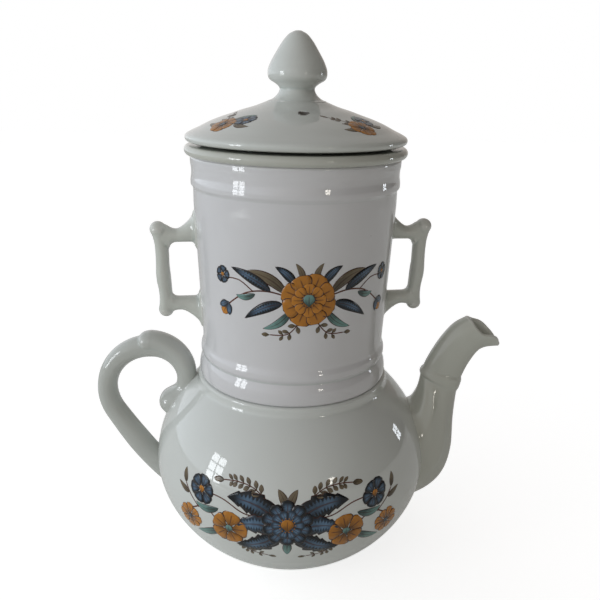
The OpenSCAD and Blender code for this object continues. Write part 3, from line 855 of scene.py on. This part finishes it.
class COFFEEPOT_OT_handle(PieceOperator, bpy.types.Operator):
    """Build the scroll handle with its thumb leaf and rolled end"""

    bl_idname = "coffeepot.handle"
    bl_label = "Pot Handle"

    def execute(self, context):
        s = shapes(context)
        curl_z, curl_d = s.pot.belly_z + 29.7, 15.6
        curl_x = -s.belly_at(curl_z)
        crown_x, crown_z = curl_x - 10.5, curl_z + 35.5
        scroll_r, bow_r, bow_end = 20.2, 28.2, 211
        crown_t, bow_t, scroll_t, tail_t = 13.2, 11.3, 11.2, 14.2
        depth, curl_w, leaf_rise = s.pot.handle_w, curl_d * 1.22, 2.4
        scroll_z, bow_z = crown_z - scroll_r, crown_z - bow_r
        end = degrees(atan2(curl_z - scroll_z, curl_x - crown_x))
        end_r = hypot(curl_x - crown_x, curl_z - scroll_z)

        def scroll_point(t, out=0.0):
            """x, z and direction from the crown to the rolled end."""
            a = blend(90, end, t)
            return *around(crown_x, scroll_z, scroll_r + (end_r - scroll_r) * t * t + out, a), a - 90

        def bow_point(t, out=0.0):
            """x, z and direction from the crown to the start of the tail."""
            a = blend(90, bow_end, t)
            return *around(crown_x, bow_z, bow_r + out, a), a + 90

        tail_z, tail_dir = s.pot.belly_z - 25.5, -40
        *first, first_dir = bow_point(1)
        a, d = Vector(first), Vector((-s.belly_at(tail_z) + 4, tail_z))
        pull = (d - a).length / 3
        b = a + pull * Vector(around(0, 0, 1, first_dir))
        c = d - pull * Vector(around(0, 0, 1, tail_dir))

        def tail_point(t):
            """x, z and direction from the bow into the belly."""
            at = bowed(a, b, c, t) * (1 - t) + bowed(b, c, d, t) * t
            to = bowed(b - a, c - b, d - c, t)
            return at.x, at.y, degrees(atan2(to.y, to.x))

        def station(point, thick, wide, flip=0.0):
            x, z, direction = point
            return x, z, direction + flip, thick / 2, wide / 2

        x, z, tip_dir = scroll_point(1)
        cap_end = radians(84.6)
        stations = []
        for t in reversed(shares(9, 1)):
            point = (*around(x, z, curl_d / 2 * sin(cap_end * t), tip_dir), tip_dir)
            stations.append(station(point, curl_d * cos(cap_end * t), curl_w * cos(cap_end * t), 180))
        for t in reversed(shares(48, 1)):
            point = scroll_point(t)
            ball = ease(1.15 - hypot(point[0] - curl_x, point[1] - curl_z) / (curl_d * 0.85))
            thick = along([(0, crown_t), (0.55, scroll_t), (1, scroll_t)], t)
            stations.append(station(point, blend(thick, curl_d, ball), blend(depth, curl_w, ball), 180))
        for t in shares(36):
            thick = along([(0, crown_t), (0.7, bow_t), (1, bow_t + 1)], t)
            stations.append(station(bow_point(t), thick, depth))
        for t in shares(24, 1):
            thick = along([(0, bow_t + 1), (0.4, tail_t), (1, tail_t)], t)
            stations.append(station(tail_point(t), thick, depth))
        bm = bmesh.new()
        swept(bm, stations)

        thick, wide = crown_t - 2, depth + 1.8
        lift = (crown_t - thick) / 2 + leaf_rise
        leaf = []
        for t in reversed(shares(16, 1)):
            size = sqrt(1 - t ** 3.6) + 0.02
            point = bow_point(0.12 * t, lift - leaf_rise * 0.3 * t)
            leaf.append(station(point, thick * size, wide * size, 180))
        for t in shares(24):
            size = 1 - 0.22 * t * t
            leaf.append(station(scroll_point(0.8 * t, lift * (1 - t)), thick * size, wide * size))
        swept(bm, leaf)
        handle = porcelain(context, "pot_scroll_handle", bm, "pot", "pot_handle", "handle_glaze")
        mesh = melted(handle, voxel=0.42, passes=6)
        seat_on(mesh, s.belly_at, flare=0.5, reach=2.4)
        mark_pools(mesh, 5)
        return {"FINISHED"}


def pierced_plate(bm, radius, low, high, centres, hole_r, steps):
    """A round plate between two heights with small holes, joined to the vessel that it closes."""
    outline = circle(bm, steps, radius * MM, at_mm(0, 0, low))[1]
    loops = [circle(bm, 12, hole_r * MM, at_mm(x, y, low))[1] for x, y in centres]
    filled = bmesh.ops.triangle_fill(bm, use_beauty=True, use_dissolve=False, edges=sum(loops, outline),
                                     normal=(0, 0, 1))
    copied = bmesh.ops.duplicate(bm, geom=[g for g in filled["geom"] if isinstance(g, bmesh.types.BMFace)])
    top = [g for g in copied["geom"] if isinstance(g, bmesh.types.BMVert)]
    bmesh.ops.translate(bm, verts=top, vec=(0, 0, (high - low) * MM))
    for loop in loops:
        bmesh.ops.bridge_loops(bm, edges=loop + [copied["edge_map"][edge] for edge in loop])
    bmesh.ops.remove_doubles(bm, verts=bm.verts[:], dist=2e-6)
    bmesh.ops.recalc_face_normals(bm, faces=bm.faces[:])


def hole_centres(rings, pitch):
    """Centres of drip holes in rings round a middle one."""
    made = [(0.0, 0.0)]
    for k in range(1, rings + 1):
        made += [around(0, 0, k * pitch, 60 * i / k) for i in range(6 * k)]
    return made


class COFFEEPOT_OT_filter(PieceOperator, bpy.types.Operator):
    """Build the filter cylinder with its mouldings, spigot and pierced floor"""

    bl_idname = "coffeepot.filter"
    bl_label = "Filter"

    def execute(self, context):
        s = shapes(context)
        p, f = s.pot, s.filter
        spigot_r, bore_low, low = p.neck_r - SPIGOT_PLAY, f.wall_low_r - f.wall, p.rim_z - f.spigot_len
        high, sieve_r = low + SIEVE_T, spigot_r - 4.4
        plate_r = sieve_r - 1.6
        outer = s.filter_outer()
        bm = bmesh.new()
        turned(bm, rounded([
            (plate_r, low), (spigot_r, low, 1.2), (spigot_r, p.rim_z, 0.4), (outer[0][0] - 0.4, p.rim_z, 1.5),
            *outer, (outer[-1][0] + 0.1, s.filter_top, 1.5), (s.bore_r, s.filter_top, 1.0),
            (s.bore_r, s.filter_top - f.cup_depth - 0.9), (bore_low, p.rim_z + 24),
            (bore_low - 0.2, p.rim_z + 10), (sieve_r, p.rim_z + 2), (sieve_r, high, 1.2),
            (plate_r, high)]), s.steps, closed=False)
        pierced_plate(bm, plate_r, low, high, hole_centres(5, sieve_r / 5.6), f.sieve_hole_d / 2, s.steps)
        piece = porcelain(context, "filter_cylinder", bm, "filter", "filter_body", "filter_glaze",
                          TURNED_EDGE)
        mark_pools(piece.data)
        return {"FINISHED"}


class COFFEEPOT_OT_ears(PieceOperator, bpy.types.Operator):
    """Build the two ear handles of the filter"""

    bl_idname = "coffeepot.ears"
    bl_label = "Filter Handles"

    def execute(self, context):
        s = shapes(context)
        f, seat = s.filter, s.pot.rim_z
        low = seat + EAR_LOW
        high = low + EAR_TALL
        knuckle, low_knuckle = 4.5, 4.1
        grip_x = s.filter_at(EAR_LOW + EAR_TALL / 2) + f.ear_gap + f.ear_t / 2
        lean = (f.wall_top_r - f.wall_low_r) / (f.height - 49)
        z0, z1 = low - 7.4, high + 7.0
        mid, foot = (z0 + z1) / 2, z0 - low_knuckle
        span = z1 + knuckle - foot
        grip = []
        for t in shares(44):
            z = foot + span * (1 - cos(pi * t)) / 2
            ball = sqrt(max(0.0, low_knuckle ** 2 - (z - z0) ** 2, knuckle ** 2 - (z - z1) ** 2))
            bar = f.ear_t / 2 + 0.35 * bump(z - mid + 4, 5) if z0 < z < z1 else 0
            half = max(ball, bar, 0.3)
            side = half * f.ear_w / f.ear_t * (0.92 if ball > bar else 1)
            sway = 1.1 * ease((z - z1 + 9) / 9) + 0.7 * ease((z0 + 8 - z) / 8) + 0.45 * bump(z - mid + 2, 8)
            grip.append((grip_x + lean * (z - mid) + sway, z, 90, half, side))

        def arm(edge, thick, flare, up):
            """Stations from inside the wall to the grip; up is 1 for the upper arm, -1 for the lower."""
            wall_x = s.filter_at(edge - seat)
            made = []
            for t in shares(48):
                x = wall_x - 2 + (grip_x - wall_x + 2) * t
                near = max(0.0, 1 - (x - wall_x + 0.4) / 11)
                outer = flare * near ** 1.5 + 2.3 * clamp(1 - (grip_x - 2.4 - x) / 5) ** 2
                inner = fillet(x - wall_x + 0.9, 3.9) + fillet(grip_x - f.ear_t / 2 - x, 3.6)
                made.append((x, edge + up * (thick + outer - inner) / 2, 0, (thick + outer + inner) / 2,
                             f.ear_w / 2 + 2.4 * near ** 2))
            return made

        for side, turn in (("left", pi), ("right", 0)):
            bm = bmesh.new()
            for stations in (grip, arm(high, f.ear_t, 10, 1), arm(low, f.ear_t + 0.4, 8.4, -1)):
                swept(bm, stations)
            bmesh.ops.rotate(bm, verts=bm.verts[:], cent=(0, 0, 0),
                             matrix=Matrix.Rotation(turn + radians(f.turn), 3, "Z"))
            ear = porcelain(context, "filter_ear_" + side, bm, "filter", "filter_handle_" + side, "ear_glaze")
            mesh = melted(ear, voxel=0.4, passes=14)
            seat_on(mesh, lambda z: s.filter_at(z - seat), flare=1.2, reach=3.2)
            mark_pools(mesh, 5)
        return {"FINISHED"}


class COFFEEPOT_OT_spreader(PieceOperator, bpy.types.Operator):
    """Build the water spreader: a pierced cup whose rolled flange shows under the lid"""

    bl_idname = "coffeepot.spreader"
    bl_label = "Water Spreader"

    def execute(self, context):
        s = shapes(context)
        f = s.filter
        low, half, plate_r = s.filter_top - f.cup_depth, f.flange_t / 2, s.cup_in_r - 4
        high, bead_r = low + f.cup_wall, f.flange_r - half
        bm = bmesh.new()
        turned(bm, rounded([
            (plate_r, low), (s.cup_r, low, 3.2), (s.cup_r, s.filter_top, 0.5), (bead_r, s.filter_top),
            *(around(bead_r, s.filter_top + half, half, a) for a in range(-84, 85, 12)),
            (bead_r, s.flange_top), (s.cup_in_r, s.flange_top, 1.4), (s.cup_in_r, high, 1.8),
            (plate_r, high)]), s.steps, closed=False)
        pierced_plate(bm, plate_r, low, high, hole_centres(3, s.cup_in_r / 4), SPREADER_HOLE_R, s.steps)
        piece = porcelain(context, "water_spreader", bm, "spreader", "spreader", "spreader_glaze",
                          TURNED_EDGE)
        mark_pools(piece.data)
        return {"FINISHED"}


class COFFEEPOT_OT_lid(PieceOperator, bpy.types.Operator):
    """Build the domed lid with its steam vent, and the acorn knob"""

    bl_idname = "coffeepot.lid"
    bl_label = "Lid and Knob"

    def execute(self, context):
        s = shapes(context)
        d, seat = s.lid, s.flange_top
        ring_r, ring_low = s.cup_in_r - CUP_PLAY, -8
        ring_in, h, under = ring_r - 4, d.dome_h, d.dome_h - d.wall
        outline = [
            (ring_in, ring_low, 0.8), (ring_r, ring_low, 1.2), (ring_r, 0.02), (ring_r + 3, 0.02),
            (d.radius - 4.5, 1.5),
            *s.lid_outer()[1:], (0, h), (0, under - 2), (s.seat_r + 4, under - 2.4),
            (d.radius - 30, under - 5.5), (ring_in, under - 12.5, 2.0)]
        bm = bmesh.new()
        turned(bm, rounded([(r, z + seat, *rest) for r, z, *rest in outline]), s.steps)
        lid = porcelain(context, "lid_dome", bm, "lid", "lid", "lid_glaze")
        self.vent(context, lid, d, seat + h)

        r, tall, stem = d.knob_r, d.knob_h, d.stem_r
        knob = smooth([
            (s.seat_r + 2.6, -0.9), (s.seat_r + 0.6, -0.2), (s.seat_r - 1.2, 1.0), (stem + 0.9, 2.6),
            (stem, 4.6), (stem + 0.3, 6), (stem + 2.1, 7.6), (r - 1.2, 9.4), (r - 0.1, 11.4), (r - 0.1, 14.2),
            (r - 0.9, 16.6), (r - 2.2, 19.4), (r - 4.6, tall - 9.8), (r - 7.4, tall - 5.4),
            (r - 10.6, tall - 1.8), (1.6, tall - 0.12)], 5)
        bm = bmesh.new()
        turned(bm, [(a, b + s.knob_z) for a, b in ((0, -1.2), (s.seat_r + 1.5, -1.2), *knob, (0, tall))], 128)
        piece = porcelain(context, "acorn_knob", bm, "lid", "lid_knob", "lid_glaze")
        mark_pools(piece.data)
        return {"FINISHED"}

    def vent(self, context, lid, d, crown):
        """Bores the steam vent, with a round countersink and painted shade inside."""
        x, y = around(0, 0, d.vent_out, VENT_TURN)
        bore, mouth = bmesh.new(), bmesh.new()
        bmesh.ops.create_cone(bore, cap_ends=True, segments=28, radius1=d.vent_d * 0.62 * MM,
                              radius2=d.vent_d * 0.7 * MM, depth=d.dome_h * 0.6 * MM,
                              matrix=at_mm(x, y, crown - d.dome_h * 0.28))
        carved(lid, bore, CARVED_EDGE)
        at = at_mm(x, y, crown - 4.8)
        bmesh.ops.create_uvsphere(mouth, u_segments=28, v_segments=16, radius=d.vent_d * 0.9 * MM,
                                  matrix=at @ Matrix.Scale(0.5, 4, (0, 0, 1)))
        carved(lid, mouth, CARVED_EDGE)
        lid.data.materials.append(painted_vent_shade(context))
        # Painted shade: faces deeper inside the vent take the dark second material.
        for face in lid.data.polygons:
            away = face.center - at.translation
            if hypot(away.x, away.y) < d.vent_d * 0.95 * MM and away.z < -0.3 * MM:
                face.material_index = 1
        mark_pools(lid.data)


# ---------- enamel prints ----------


class Print:
    """Lays flat enamel motifs on a turned surface; a runs round it and b up it, in millimetres."""

    def __init__(self, outline, height, azimuth):
        self.azimuth = radians(azimuth)
        self.rows = []  # run along the outline, radius, height and both parts of the normal
        run = 0.0
        for i, (r, z) in enumerate(outline):
            (r0, z0), (r1, z1) = outline[max(i - 1, 0)], outline[min(i + 1, len(outline) - 1)]
            run += hypot(r - r0, z - z0)
            size = hypot(r1 - r0, z1 - z0)
            self.rows.append((run, r, z, (z1 - z0) / size, (r0 - r1) / size))
        self.start = next(low[0] + (height - low[2]) / (high[2] - low[2]) * (high[0] - low[0])
                          for low, high in zip(self.rows, self.rows[1:]) if high[2] >= height)
        self.bm = bmesh.new()
        self.bm.loops.layers.uv.new("print")

    def place(self, a, b, layer):
        """The point above the glaze at a and b."""
        s = self.start + b
        i = next((k for k, row in enumerate(self.rows) if row[0] >= s), len(self.rows) - 1)
        low, high = self.rows[max(i - 1, 0)], self.rows[i]
        t = (s - low[0]) / max(high[0] - low[0], 1e-9)
        _, r, z, nr, nz = (x + (y - x) * t for x, y in zip(low, high))
        turn, off = self.azimuth + a / r, PRINT_OFF + PRINT_LAYER * layer
        r, z = r + nr * off, z + nz * off
        return Vector((r * sin(turn), -r * cos(turn), z)) * MM

    def blade(self, spine, width, tone, layer, across, steps):
        """A petal, leaf or stem along a spine of points, with a half width given along it."""
        made = bmesh.ops.create_grid(self.bm, x_segments=across, y_segments=steps, size=1.0, calc_uvs=True)
        index, near, thinnest = list(ENAMELS).index("enamel_" + tone), 0.01, 0.02
        for v in made["verts"]:
            for face in v.link_faces:
                face.material_index = index
            t = (v.co.y + 1) / 2
            (x, y), (x0, y0), (x1, y1) = spine(t), spine(t - near), spine(t + near)
            size = hypot(x1 - x0, y1 - y0) or 1.0
            w = max(width(clamp(t)), thinnest) * v.co.x
            v.co = self.place(x + (y1 - y0) / size * w, y - (x1 - x0) / size * w, layer)

    def petal(self, a, b, direction, start, end, half, tone, layer, full, tip, across=4):
        """A petal that points away from a and b, fullest at a share of its length."""

        def spine(t):
            return around(a, b, start + (end - start) * t, direction)

        def width(t):
            taper = 1 - max(0.0, (t - full) / (1 - full)) ** 2.2
            return half * (0.16 + 0.84 * ease(t / full)) * taper ** tip

        self.blade(spine, width, tone, layer, across, 10)

    def flower(self, a, b, radius, petals, half, tone, layer, full, tip, turn=90.0, start=0.12):
        """Petals round a centre, every second one a layer higher."""
        for k in range(petals):
            odd = k % 2
            self.petal(a, b, turn + 360 * k / petals, radius * start, radius * (1 - 0.05 * odd), half, tone,
                       layer + odd * 0.5, full, tip)

    def disc(self, a, b, radius, tone, layer, dots=0, dot_tone="line"):
        """A round centre with a ring of stamens."""
        self.petal(a, b - radius, 90, 0, 2 * radius, radius, tone, layer, 0.5, 0.5)
        dot = 0.38
        for k in range(dots):
            x, y = around(a, b, radius * 1.12, 360 * k / dots)
            self.petal(x, y - dot, 90, 0, 2 * dot, dot, dot_tone, layer + 0.6, 0.5, 0.5, 2)

    def leaf(self, points, half, tone, layer, teeth=0):
        """A leaf on a curve through three points, with saw teeth if wanted."""

        def spine(t):
            return tuple(bowed(*values, t) for values in zip(*points))

        def width(t):
            body = half * sin(pi * t ** 0.8) ** 0.75 if 0 < t < 1 else 0.0
            return body * (1 - 0.26 * ((t * teeth) % 1.0))

        self.blade(spine, width, tone, layer, 4, teeth * 6 or 14)

    def stem(self, points, half):
        """A fine stem through points."""
        path = smooth(points, 6)

        def spine(t):
            at = clamp(t) * (len(path) - 1)
            i = min(int(at), len(path) - 2)
            return tuple(p + (q - p) * (at - i) for p, q in zip(path[i], path[i + 1]))

        self.blade(spine, lambda t: half, "stem", 0, 1, 4 * len(points) + 4)

    def sprig(self, points, leaves, size, tone):
        """A stem with pairs of small leaves and one at its tip."""
        self.stem(points, 0.297)
        path = smooth(points, 8)

        def small_leaf(x, y, x0, y0, x1, y1, lean, size):
            """A leaf at x and y that leans away from the stem between two of its points."""
            direction = degrees(atan2(y1 - y0, x1 - x0)) + lean
            self.petal(x, y, direction, 0.2, size, size * 0.25, tone, 1, 0.5, 0.8)

        for t in shares(leaves)[:-1]:
            i = round((0.2 + 0.72 * t) * (len(path) - 2))
            for lean in (-50, 50):
                small_leaf(*path[i], *path[i], *path[i + 1], lean, size * (1 - 0.3 * t))
        small_leaf(*path[-1], *path[-3], *path[-1], 0, size)

    def finished(self, name, body, context):
        """The print as a piece with the thickness of enamel."""
        known = bpy.data.materials
        tones = [known.get(key) or enamel(context, key, *recipe) for key, recipe in ENAMELS.items()]
        thick = new_piece(name, self.bm, body, tones).modifiers.new("enamel", "SOLIDIFY")
        thick.thickness, thick.offset = PRINT_THICK * MM, 1.0


def halves():
    """The sign of each side of a print, and a function that puts points on that side."""
    for side in (-1, 1):
        yield side, lambda *points: [(side * x, y) for x, y in points]


def pot_garland(p):
    """Garland of the pot: a blue daisy between ochre blossoms, with saw-edged leaves and sprigs."""
    for side, at in halves():
        p.stem(at((6, -6), (20, -15), (33, -9), (45, 1), (56, -4)), 0.405)
        p.stem(at((10, 4), (22, 4), (34, 9), (45, 10)), 0.351)
        p.sprig(at((9, 11), (17, 18), (26, 20), (35, 19)), 6, 5.2, "sage")
        p.sprig(at((24, -12), (20, -20), (10, -23)), 5, 4.6, "sage")
        p.stem(at((50, -1), (56, 4), (60, 9)), 0.351)
        p.leaf(at((57, 5), (61, 5), (66, 8)), 1.7, "sage", 2)
        p.leaf(at((60, 9), (61, 13), (60, 17)), 1.7, "sage", 2)
        p.leaf(at((6, 3), (15, 13), (32, 11)), 7.2, "blue", 2, 5)
        p.leaf(at((4, -3), (17, 2), (27, -4)), 6.0, "slate", 4, 4)
        p.leaf(at((5, -5), (11, -15), (27, -17)), 6.4, "blue", 3, 5)
        p.leaf(at((36, -9), (44, -17), (52, -18)), 2.6, "teal", 1)
        p.leaf(at((37, 3), (46, -2), (52, 2)), 2.2, "teal", 1)
        p.leaf(at((34, 19), (37, 18.8), (40, 18)), 1.5, "sage", 4)
        p.flower(side * 31, -7, 10.5, 5, 5.4, "ochre", 5, 0.68, 0.5, turn=90 + side * 12, start=0.1)
        p.disc(side * 31, -7, 2.3, "teal", 7, 9)
        p.flower(side * 48, 10, 8.2, 6, 3.6, "blue", 5, 0.66, 0.5, turn=70)
        p.disc(side * 48, 10, 1.9, "amber", 7, 6)
        p.flower(side * 57, -10, 8.6, 8, 2.6, "amber", 5, 0.75, 0.35, turn=80 - side * 10)
        p.disc(side * 57, -10, 1.6, "blue", 7, 6)
    p.leaf([(0, 8), (-2, 15), (-5, 19)], 2.2, "sage", 2)
    p.leaf([(0, 8), (2, 15), (5, 19)], 2.2, "sage", 2)
    p.leaf([(0, -10), (0, -16), (0, -21)], 2.4, "teal", 2)
    p.flower(0, 0, 14, 10, 3.7, "blue", 6, 0.7, 0.5)
    p.flower(0, 0, 9, 10, 2.5, "slate", 8, 0.7, 0.5, turn=72)
    p.disc(0, 0, 3.6, "ochre", 10, 14, "amber")


def filter_spray(p):
    """Spray of the filter: an ochre star blossom on a drooping branch of blue and sage leaves."""
    for side, at in halves():
        p.stem(at((8, 1), (20, 4), (32, 2), (43, -6)), 0.405)
        p.stem(at((28, 3), (36, 8), (45, 8)), 0.324)
        p.leaf(at((11, 3), (20, 14), (33, 13)), 2.9, "sage", 1)
        p.leaf(at((19, 4), (28, 11), (41, 14)), 2.9, "blue", 2)
        p.leaf(at((13, -2), (22, -3), (33, -12)), 2.9, "blue", 2)
        p.leaf(at((9, -5), (13, -14), (23, -16)), 2.2, "teal", 1)
        p.leaf(at((27, 2), (33, -2), (38, 0)), 1.8, "teal", 2)
        p.leaf(at((7, 8), (10, 14), (17, 17)), 2.4, "blue", 1)
        p.leaf(at((3, 9), (3, 15), (7, 19)), 1.6, "sage", 1)
        p.sprig(at((4, -11), (10, -18), (19, -19)), 3, 4.6, "sage")
        droop = -90 + side * 30
        p.petal(side * 43, -5, droop, 0, 8.5, 3.3, "amber", 4, 0.45, 0.6)
        for lean in (-34, 34):
            p.petal(side * 43, -5, droop + lean, 0, 7.4, 2.1, "slate", 5, 0.4, 0.7)
        p.flower(side * 47, 9, 4.9, 5, 2.4, "blue", 4, 0.66, 0.5, turn=80)
        p.disc(side * 47, 9, 1.2, "amber", 6)
    p.flower(0, 0, 14.5, 8, 5.6, "ochre", 5, 0.72, 0.5, turn=68)
    p.flower(0, 0, 9, 8, 3.2, "amber", 7, 0.7, 0.45)
    p.disc(0, 0, 3.3, "teal", 9, 14)


def lid_spray(p):
    """Small spray of the lid: one ochre and one blue blossom with leaves."""
    p.stem([(-11, 3), (-4, -1), (4, 2), (12, 6)], 0.351)
    p.leaf([(-3, 0), (-9, -5), (-15, -3)], 2.0, "sage", 1)
    p.leaf([(4, 2), (9, -4), (15, -2)], 2.0, "sage", 1)
    p.leaf([(0, 3), (2, 9), (8, 11)], 2.0, "teal", 1)
    p.sprig([(-4, 1), (-9, 7), (-12, 10)], 3, 4.0, "sage")
    p.flower(-2.5, -2, 7.4, 7, 2.9, "ochre", 3, 0.7, 0.5)
    p.disc(-2.5, -2, 1.7, "blue", 5, 7)
    p.flower(7, 4.5, 5.6, 6, 2.5, "slate", 3, 0.7, 0.5, turn=75)
    p.disc(7, 4.5, 1.3, "amber", 5)


class COFFEEPOT_OT_prints(PieceOperator, bpy.types.Operator):
    """Lay the enamel flower prints on the pot, the filter and the lid"""

    bl_idname = "coffeepot.prints"
    bl_label = "Flower Prints"

    def execute(self, context):
        s = shapes(context)
        dome = [(r, z + s.flange_top) for r, z in s.lid_outer()[6:]]

        def lay(name, body, draw, outline, height, azimuth):
            made = Print(outline, height, azimuth)
            draw(made)
            made.finished(name, body, context)

        for name, turn in (("front", 0), ("back", 180)):
            lay("pot_print_" + name, "pot", pot_garland, s.pot_outer(), POT_PRINT_Z, turn)
            lay("filter_print_" + name, "filter", filter_spray, s.filter_outer(), FILTER_PRINT_Z,
                s.filter.turn + turn)
        for k, turn in enumerate((-48, 48, 132, -132), 1):
            lay(f"lid_print_{k}", "lid", lid_spray, dome, s.flange_top + LID_PRINT_Z, turn)
        return {"FINISHED"}


# ---------- camera, floor and light ----------

# Place of the camera, and the point that the windows look at, in millimetres.
CAMERA, MIDDLE = (3.86, -353.8, 273.95), (0, 0, 130)
# Share of a window's pane inside its bars, across and up.
GLASS = 0.84, 0.86
# Name, azimuth right of the front and elevation in degrees, distance, width and height in metres, columns and
# rows of panes, share of the window light, and tint.
WINDOWS = (
    ("window_left", -60, 6.3, 1.15, 0.30, 0.48, 2, 3, 1.0, (0.93, 0.97, 1.0)),
    ("window_front", 34, 9.5, 1.4, 0.13, 0.15, 2, 2, 0.2, (1.0, 0.95, 0.85)),
    ("window_right", 108, 5, 1.2, 0.13, 0.20, 2, 2, 0.16, (0.88, 0.94, 1.0)),
)


def seen_mix(m, room, seen, glossy_share):
    """Mixes a room shader with what the camera sees, of which reflections take a share."""
    rays = m.add("LightPath").outputs
    direct = m.math("MAXIMUM", rays["Is Camera Ray"], rays["Is Transmission Ray"])
    amount = m.math("MULTIPLY_ADD", rays["Is Glossy Ray"], glossy_share, direct, clamp=True)
    return m.add("MixShader", {0: amount, 1: room.outputs[0], 2: seen.outputs[0]}).outputs[0]


class COFFEEPOT_OT_stage(PieceOperator, bpy.types.Operator):
    """Set the camera, the pale floor and the soft studio light"""

    bl_idname = "coffeepot.stage"
    bl_label = "Stage"

    def execute(self, context):
        scene = context.scene
        studio = scene.coffee_pot.studio
        data = bpy.data.cameras.new("camera")
        data.lens, data.sensor_width = studio.lens, 36.0
        data.clip_start, data.clip_end = 0.01, 20.0
        camera = linked("camera", data)
        camera.matrix_world = (at_mm(*CAMERA) @ Matrix.Rotation(pi / 2 - studio.pitch, 4, "X")
                               @ Matrix.Rotation(studio.roll, 4, "Z"))
        scene.camera = camera
        scene.view_settings.view_transform = "Standard"
        self.floor()
        self.room(scene, studio.sky)
        for window in WINDOWS:
            self.window(studio.window_power, *window)
        return {"FINISHED"}

    def floor(self):
        """A wide floor that catches soft shadows."""
        bm = bmesh.new()
        bmesh.ops.create_grid(bm, x_segments=1, y_segments=1, size=3.0)
        floor = linked("floor", mesh_of("floor", bm))
        material = bpy.data.materials.new("pale_floor")
        m = Nodes(material, empty=True)
        plain = m.add("BsdfDiffuse", {"Color": (0.80, 0.81, 0.78)})
        catch = m.add("BsdfDiffuse", {"Color": (0.55, 0.55, 0.55)})
        both = m.add("AddShader", {0: catch.outputs[0], 1: m.add("Emission", {"Strength": 0.78}).outputs[0]})
        m.add("OutputMaterial", {"Surface": seen_mix(m, plain, both, 0.15)})
        floor.data.materials.append(material)

    def room(self, scene, sky):
        """Light from all round: bright and cool on the left, dim and warm on the right; white in view."""
        scene.world = bpy.data.worlds.new("room")
        m = Nodes(scene.world, empty=True)
        x, _, z = m.split(m.add("TexCoord").outputs["Generated"])
        strength = m.times(m.times(m.ramp(x, -0.9, 0.82, 2.34, 0.0), m.ramp(z, -0.1, 0.9, 1.22, 0.68)), sky)
        tone = m.mix(m.ramp(x, -0.9, 0.9, 0.0, 1.0), (0.865, 0.93, 1.0), (1.0, 0.83, 0.67))
        around_pot = m.add("Background", {"Color": tone, "Strength": strength})
        white = m.add("Background", {"Color": (1.0, 1.0, 1.0)})
        m.add("OutputWorld", {"Surface": seen_mix(m, around_pot, white, 0.1)})

    def window(self, power, name, azimuth, height, distance, width, tall, columns, rows, share, tint):
        """A window of small panes that looks at the pot's middle."""
        a, e = radians(azimuth), radians(height)
        way = Vector((sin(a) * cos(e), -cos(a) * cos(e), sin(e)))
        place = at_mm(*MIDDLE) @ Matrix.Translation(way * distance)
        place @= way.to_track_quat("Z", "Y").to_matrix().to_4x4()
        for i in range(columns):
            for j in range(rows):
                data = bpy.data.lights.new(name, "AREA")
                data.shape = "RECTANGLE"
                data.size, data.size_y = width / columns * GLASS[0], tall / rows * GLASS[1]
                data.energy, data.color = power * share / (columns * rows), tint
                shift = Vector((((i + 0.5) / columns - 0.5) * width, ((j + 0.5) / rows - 0.5) * tall, 0))
                linked(f"{name}_{i}_{j}", data).matrix_world = place @ Matrix.Translation(shift)


# ---------- add-on ----------

OPERATORS = (
    COFFEEPOT_OT_body, COFFEEPOT_OT_spout, COFFEEPOT_OT_handle, COFFEEPOT_OT_filter, COFFEEPOT_OT_ears,
    COFFEEPOT_OT_spreader, COFFEEPOT_OT_lid, COFFEEPOT_OT_prints, COFFEEPOT_OT_stage)


class COFFEEPOT_PT_panel(bpy.types.Panel):
    """Sidebar panel with the settings and the operators"""

    bl_idname = "COFFEEPOT_PT_panel"
    bl_label = "Coffee Pot"
    bl_space_type = "VIEW_3D"
    bl_region_type = "UI"
    bl_category = "Coffee Pot"

    def draw(self, context):
        settings = context.scene.coffee_pot
        for label in ("pot", "filter", "lid", "finish", "studio"):
            group = getattr(settings, label)
            box = self.layout.box()
            box.label(text=label.title())
            for key in group.__annotations__:
                box.prop(group, key)
        self.layout.prop(settings, "turns")
        for operator in OPERATORS:
            self.layout.operator(operator.bl_idname)


CLASSES = GROUPS + (CoffeePotSettings,) + OPERATORS + (COFFEEPOT_PT_panel,)


def register():
    for cls in CLASSES:
        bpy.utils.register_class(cls)
    bpy.types.Scene.coffee_pot = PointerProperty(type=CoffeePotSettings)


def unregister():
    del bpy.types.Scene.coffee_pot
    for cls in reversed(CLASSES):
        bpy.utils.unregister_class(cls)


def main():
    register()
    for operator in OPERATORS:
        group, name = operator.bl_idname.split(".")
        getattr(getattr(bpy.ops, group), name)()


if __name__ == "__main__":
    main()
